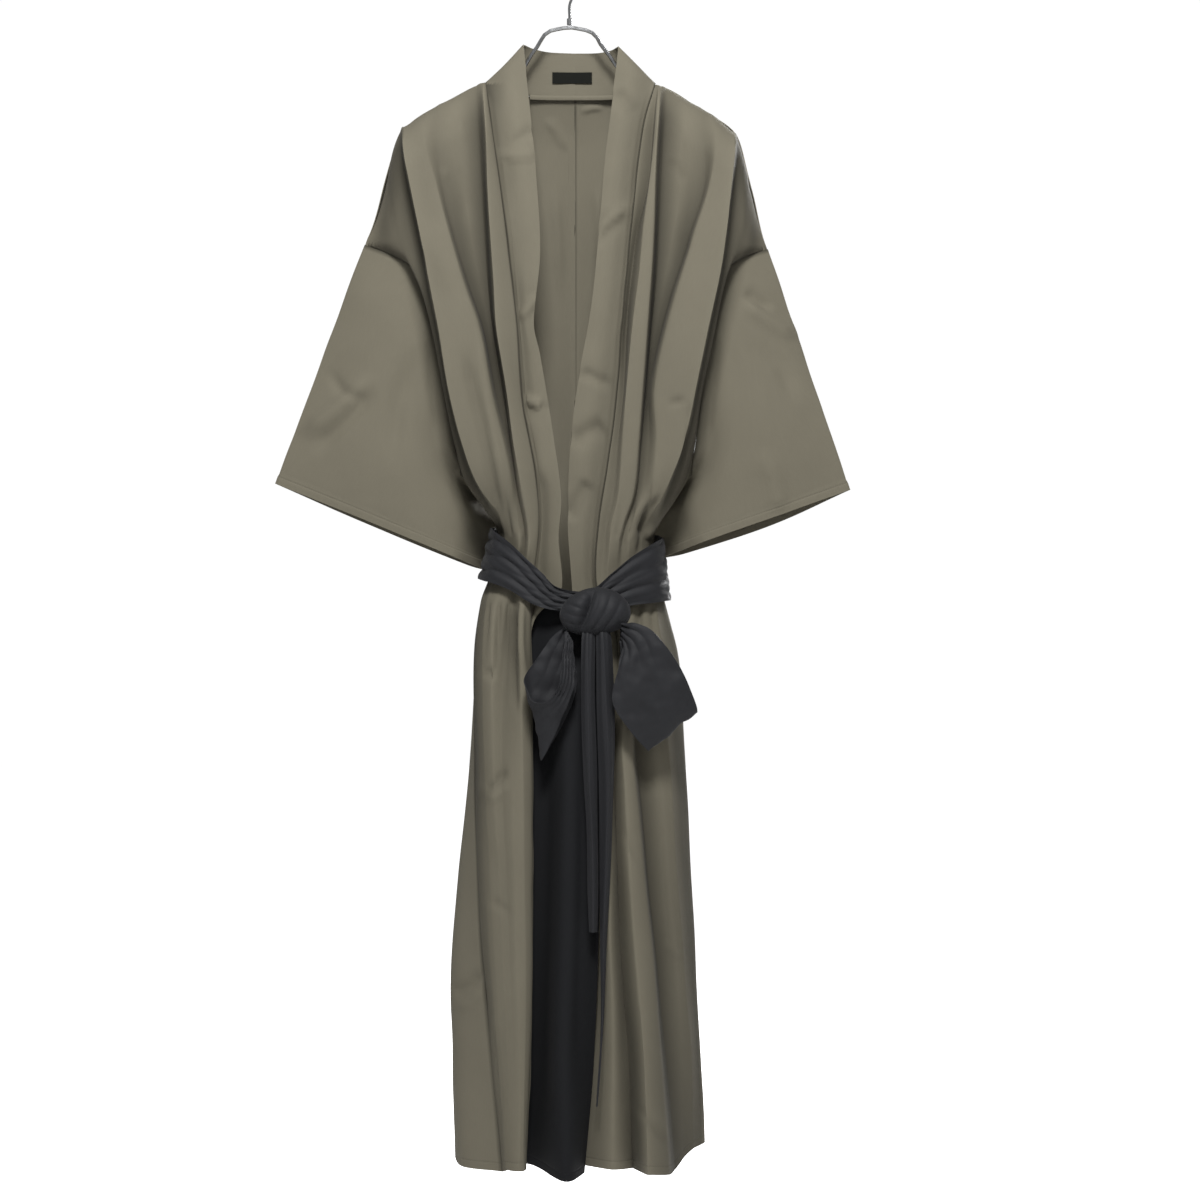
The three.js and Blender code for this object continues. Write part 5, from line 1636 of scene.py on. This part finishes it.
# %% [markdown]
# ## The sash and its bow
# The sash is a wide strip of thin cloth drawn together by its knot. Its pleats are rounded ridges with
# sharp valleys between them, as the size of a sine gives. Round the waist two rows of pleats of unlike
# number cross each other slowly, so they run together and part again as real ones do.

# %% Sash round the waist
WAIST_ROWS = 40
WAIST_STEPS = 640


def pleats(across_share, count, shift):
    return np.abs(np.sin(np.pi * (across_share * count + shift)))


waist = sash_grid(WAIST_ROWS, WAIST_STEPS)
turn = (np.arange(WAIST_STEPS) / WAIST_STEPS * 360)[None, :]
share = np.linspace(0, 1, WAIST_ROWS)[:, None]
wander = 0.5 * np.sin(np.radians(turn * 2 + 30)) + 0.25 * np.sin(np.radians(turn * 5))
waist_pleats = pleats(share, 3.4, wander) * 2.4 + pleats(share, 5.3, -1.7 * wander)
outward = waist * (1, 1, 0)
waist += outward / np.linalg.norm(outward, axis=2, keepdims=True) * waist_pleats[..., None]
waist_mesh = cloth_mesh("sash_waist_cloth", waist, SASH_CLOTH, True)
piece = add_piece(waist_mesh, sash_cloth, "sash_waist")

# %% [markdown]
# ## Loops
# A loop of the bow leaves the knot tightly pleated and opens towards its far end. The pleats are raised
# along the cloth's own face and die away with the distance from the knot. Two sizes of crumple then keep
# the two sides of a loop from looking alike.

# %% Loops of the bow
LOOP_PLEATS = 4.2
LOOP_PLEAT_HEIGHT = 3.2
LOOP_REACH = 34.0


def draped(grid, count, height, reach):
    down = lengths(grid, 0)
    from_knot = np.minimum(down, down[-1:] - down)
    share = lengths(grid, 1)
    share = share / share[:, -1:]
    drawn = np.exp(-from_knot / reach)
    folds = pleats(share, count, 0.15 * np.sin(down / 13)) - 0.6
    return grid + grid_normals(grid) * (folds * height * drawn)[..., None]


for node, stations in (("sash_loop_right", LOOP_RIGHT), ("sash_loop_left", LOOP_LEFT)):
    grid = draped(loop_grid(stations, 190, 52), LOOP_PLEATS, LOOP_PLEAT_HEIGHT, LOOP_REACH)
    grid = crumple(crumple(grid, 24.0, 4.0, len(node)), 11.0, 1.2, 4)
    piece = add_piece(cloth_mesh(node + "_cloth", grid, SASH_CLOTH), sash_cloth, node)

# %% [markdown]
# ## Hanging ends
# The two ends of the strip come out of the knot gathered and hang straight down. Their pleats are
# strongest at the knot and never quite open. The left end is the longer one.

# %% Hanging ends
END_STEPS = 40
END_COLUMNS = 31
END_PLEATS = 2.6

for node, rows in (("sash_end_right", END_RIGHT), ("sash_end_left", END_LEFT)):
    grid = end_grid(rows, END_STEPS, END_COLUMNS)
    down = lengths(grid, 0)
    share = np.linspace(0, 1, END_COLUMNS)[None, :]
    strength = 0.4 + 0.8 * np.exp(-down / 110)
    folds = (pleats(share, END_PLEATS, 0.2 * np.sin(down / 60)) - 0.6) * strength
    grid = crumple(grid + grid_normals(grid) * folds[..., None], 40.0, 1.6, 6, (1.0, 1.0, 0.4))
    piece = add_piece(cloth_mesh(node + "_cloth", grid, SASH_CLOTH), sash_cloth, node)

# %% [markdown]
# ## The knot
# The knot is a wrapped lump of the same strip. A true knot could be modelled as the strip that winds
# through itself, but only its front shows. So it is a rounded lump with one slanting valley, where the
# strip crosses over itself, and with folds that run into that valley from both sides.

# %% The knot
VALLEY_PLACE = 0.14
VALLEY_SLANT = 0.25
VALLEY_WIDTH = 0.075
KNOT_FOLD_HEIGHT = 0.09
KNOT_CLOTH = 1.4


def knot_grid(rings, around):
    rise = np.linspace(0.001, math.pi - 0.001, rings)[:, None]
    turn = (np.arange(around) / around * 2 * math.pi)[None, :]
    x = 0.5 * np.sin(rise) * np.cos(turn)
    y = 0.5 * np.sin(rise) * np.sin(turn)
    z = 0.5 * np.cos(rise) + 0 * turn
    front = np.clip(-y * 2, 0, 1)
    valley = x + VALLEY_PLACE - VALLEY_SLANT * z
    groove = 1 - KNOT["groove"] * front * np.exp(-((valley / VALLEY_WIDTH) ** 2))
    left_folds = pleats(x * 0.8 + z * 1.1, 4.6, 0.3) * (valley < 0)
    right_folds = pleats(x * 1.5 - z * 0.5 + 0.5 * z * z, 4.2, 0.1) * (valley >= 0)
    folds = (left_folds + right_folds) * np.clip(np.abs(valley) / 0.06, 0, 1)
    size = groove * (1 + KNOT_FOLD_HEIGHT * (folds - 0.5) * front)
    lift = 0.05 * np.sin(4 * x + 1)
    return np.stack(
        [
            KNOT["x"] + x * KNOT["width"] * (0.5 + 0.5 * size),
            KNOT["y"] + y * KNOT["depth"] * size,
            (z * (0.6 + 0.4 * size) + lift) * KNOT["height"] - KNOT["drop"],
        ],
        axis=-1,
    )


knot = knot_grid(84, 168)
knot_mesh = cloth_mesh("sash_knot_cloth", knot, KNOT_CLOTH, True)
knot_piece = add_piece(knot_mesh, sash_cloth, "sash_knot")

# %% [markdown]
# ## Hanger
# The hanger is one bent wire with a plated face. It stays as it was packed and only gets its finish,
# because a wire is already round and smooth in the solids. The plating is a little uneven, so its
# roughness drifts.

# %% Plated steel
steel = bpy.data.materials.new("plated wire")
steel.use_nodes = True
tree = steel.node_tree
shader = tree.nodes["Principled BSDF"]
shader.inputs["Metallic"].default_value = 1.0
drift = place_group(tree, "drift", Vector=tree.nodes.new("ShaderNodeTexCoord").outputs["Object"], Scale=180.0)
tree.links.new(maths(tree, "MULTIPLY_ADD", drift["Tone"], 0.22, 0.12), shader.inputs["Roughness"])
tree.links.new(tinted(tree, (0.62, 0.63, 0.64), drift["Tone"]), shader.inputs["Base Color"])
hanger = ("hanger_frame", "hanger_nut", "hanger_hook")
for node in hanger:
    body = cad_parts[node]
    body.data.materials.clear()
    body.data.materials.append(steel)
print("plated parts:", ", ".join(hanger))

# %% [markdown]
# ## Floor
# The photo's ground is plain white. The floor lies well below the hem, and it glows only where the camera
# sees it, so it looks white without lighting the coat from below.

# %% Floor
FLOOR_HEIGHT = -1.62

floor_mesh = bpy.data.meshes.new("floor")
corners = [(x, y, FLOOR_HEIGHT) for x, y in ((-8, -6), (8, -6), (8, 10), (-8, 10))]
floor_mesh.from_pydata(corners, [], [(0, 1, 2, 3)])
floor = bpy.data.objects.new("floor", floor_mesh)
bpy.context.scene.collection.objects.link(floor)
floor_paint = bpy.data.materials.new("pale floor")
floor_paint.use_nodes = True
tree = floor_paint.node_tree
shader = tree.nodes["Principled BSDF"]
shader.inputs["Base Color"].default_value = (0.93, 0.93, 0.93, 1)
shader.inputs["Roughness"].default_value = 0.9
shader.inputs["Emission Color"].default_value = (1, 1, 1, 1)
seen = tree.nodes.new("ShaderNodeLightPath").outputs["Is Camera Ray"]
tree.links.new(seen, shader.inputs["Emission Strength"])
floor_mesh.materials.append(floor_paint)
print(f"the floor is {-FLOOR_HEIGHT - HEM_DROP * MM:.2f} m below the hem")

# %% [markdown]
# ## Light
# The studio is white and even. One small soft light in front, above the coat, shades the undersides of
# its folds. A weak wide light in front fills the shade. A third light stands behind, because the back
# would be dark without it. The white world is bright only for the camera and lights the cloth weakly.

# %% Lights
AIM = Vector((0, 0, -0.75))
WORLD_LIGHT = 0.18
WORLD_SEEN = 1.01


def soft_light(name, at, size, watts):
    data = bpy.data.lights.new(name, "AREA")
    data.size = size
    data.energy = watts
    light = bpy.data.objects.new(name, data)
    light.location = at
    light.rotation_euler = (AIM - Vector(at)).to_track_quat("-Z", "Y").to_euler()
    bpy.context.scene.collection.objects.link(light)


soft_light("key", (0.0, -1.6, 0.95), 0.5, 55)
soft_light("fill", (0.3, -3.0, 0.3), 1.2, 6)
soft_light("behind", (1.0, 2.3, 0.4), 1.2, 100)
world = bpy.data.worlds.new("white studio")
bpy.context.scene.world = world
world.use_nodes = True
tree = world.node_tree
background = tree.nodes["Background"]
background.inputs["Color"].default_value = (1, 1, 1, 1)
seen = tree.nodes.new("ShaderNodeLightPath").outputs["Is Camera Ray"]
strength = maths(tree, "MULTIPLY_ADD", seen, WORLD_SEEN - WORLD_LIGHT, WORLD_LIGHT)
tree.links.new(strength, background.inputs["Strength"])
bpy.context.scene.view_settings.view_transform = "Standard"
print("lights:", ", ".join(light.name for light in bpy.data.lights))
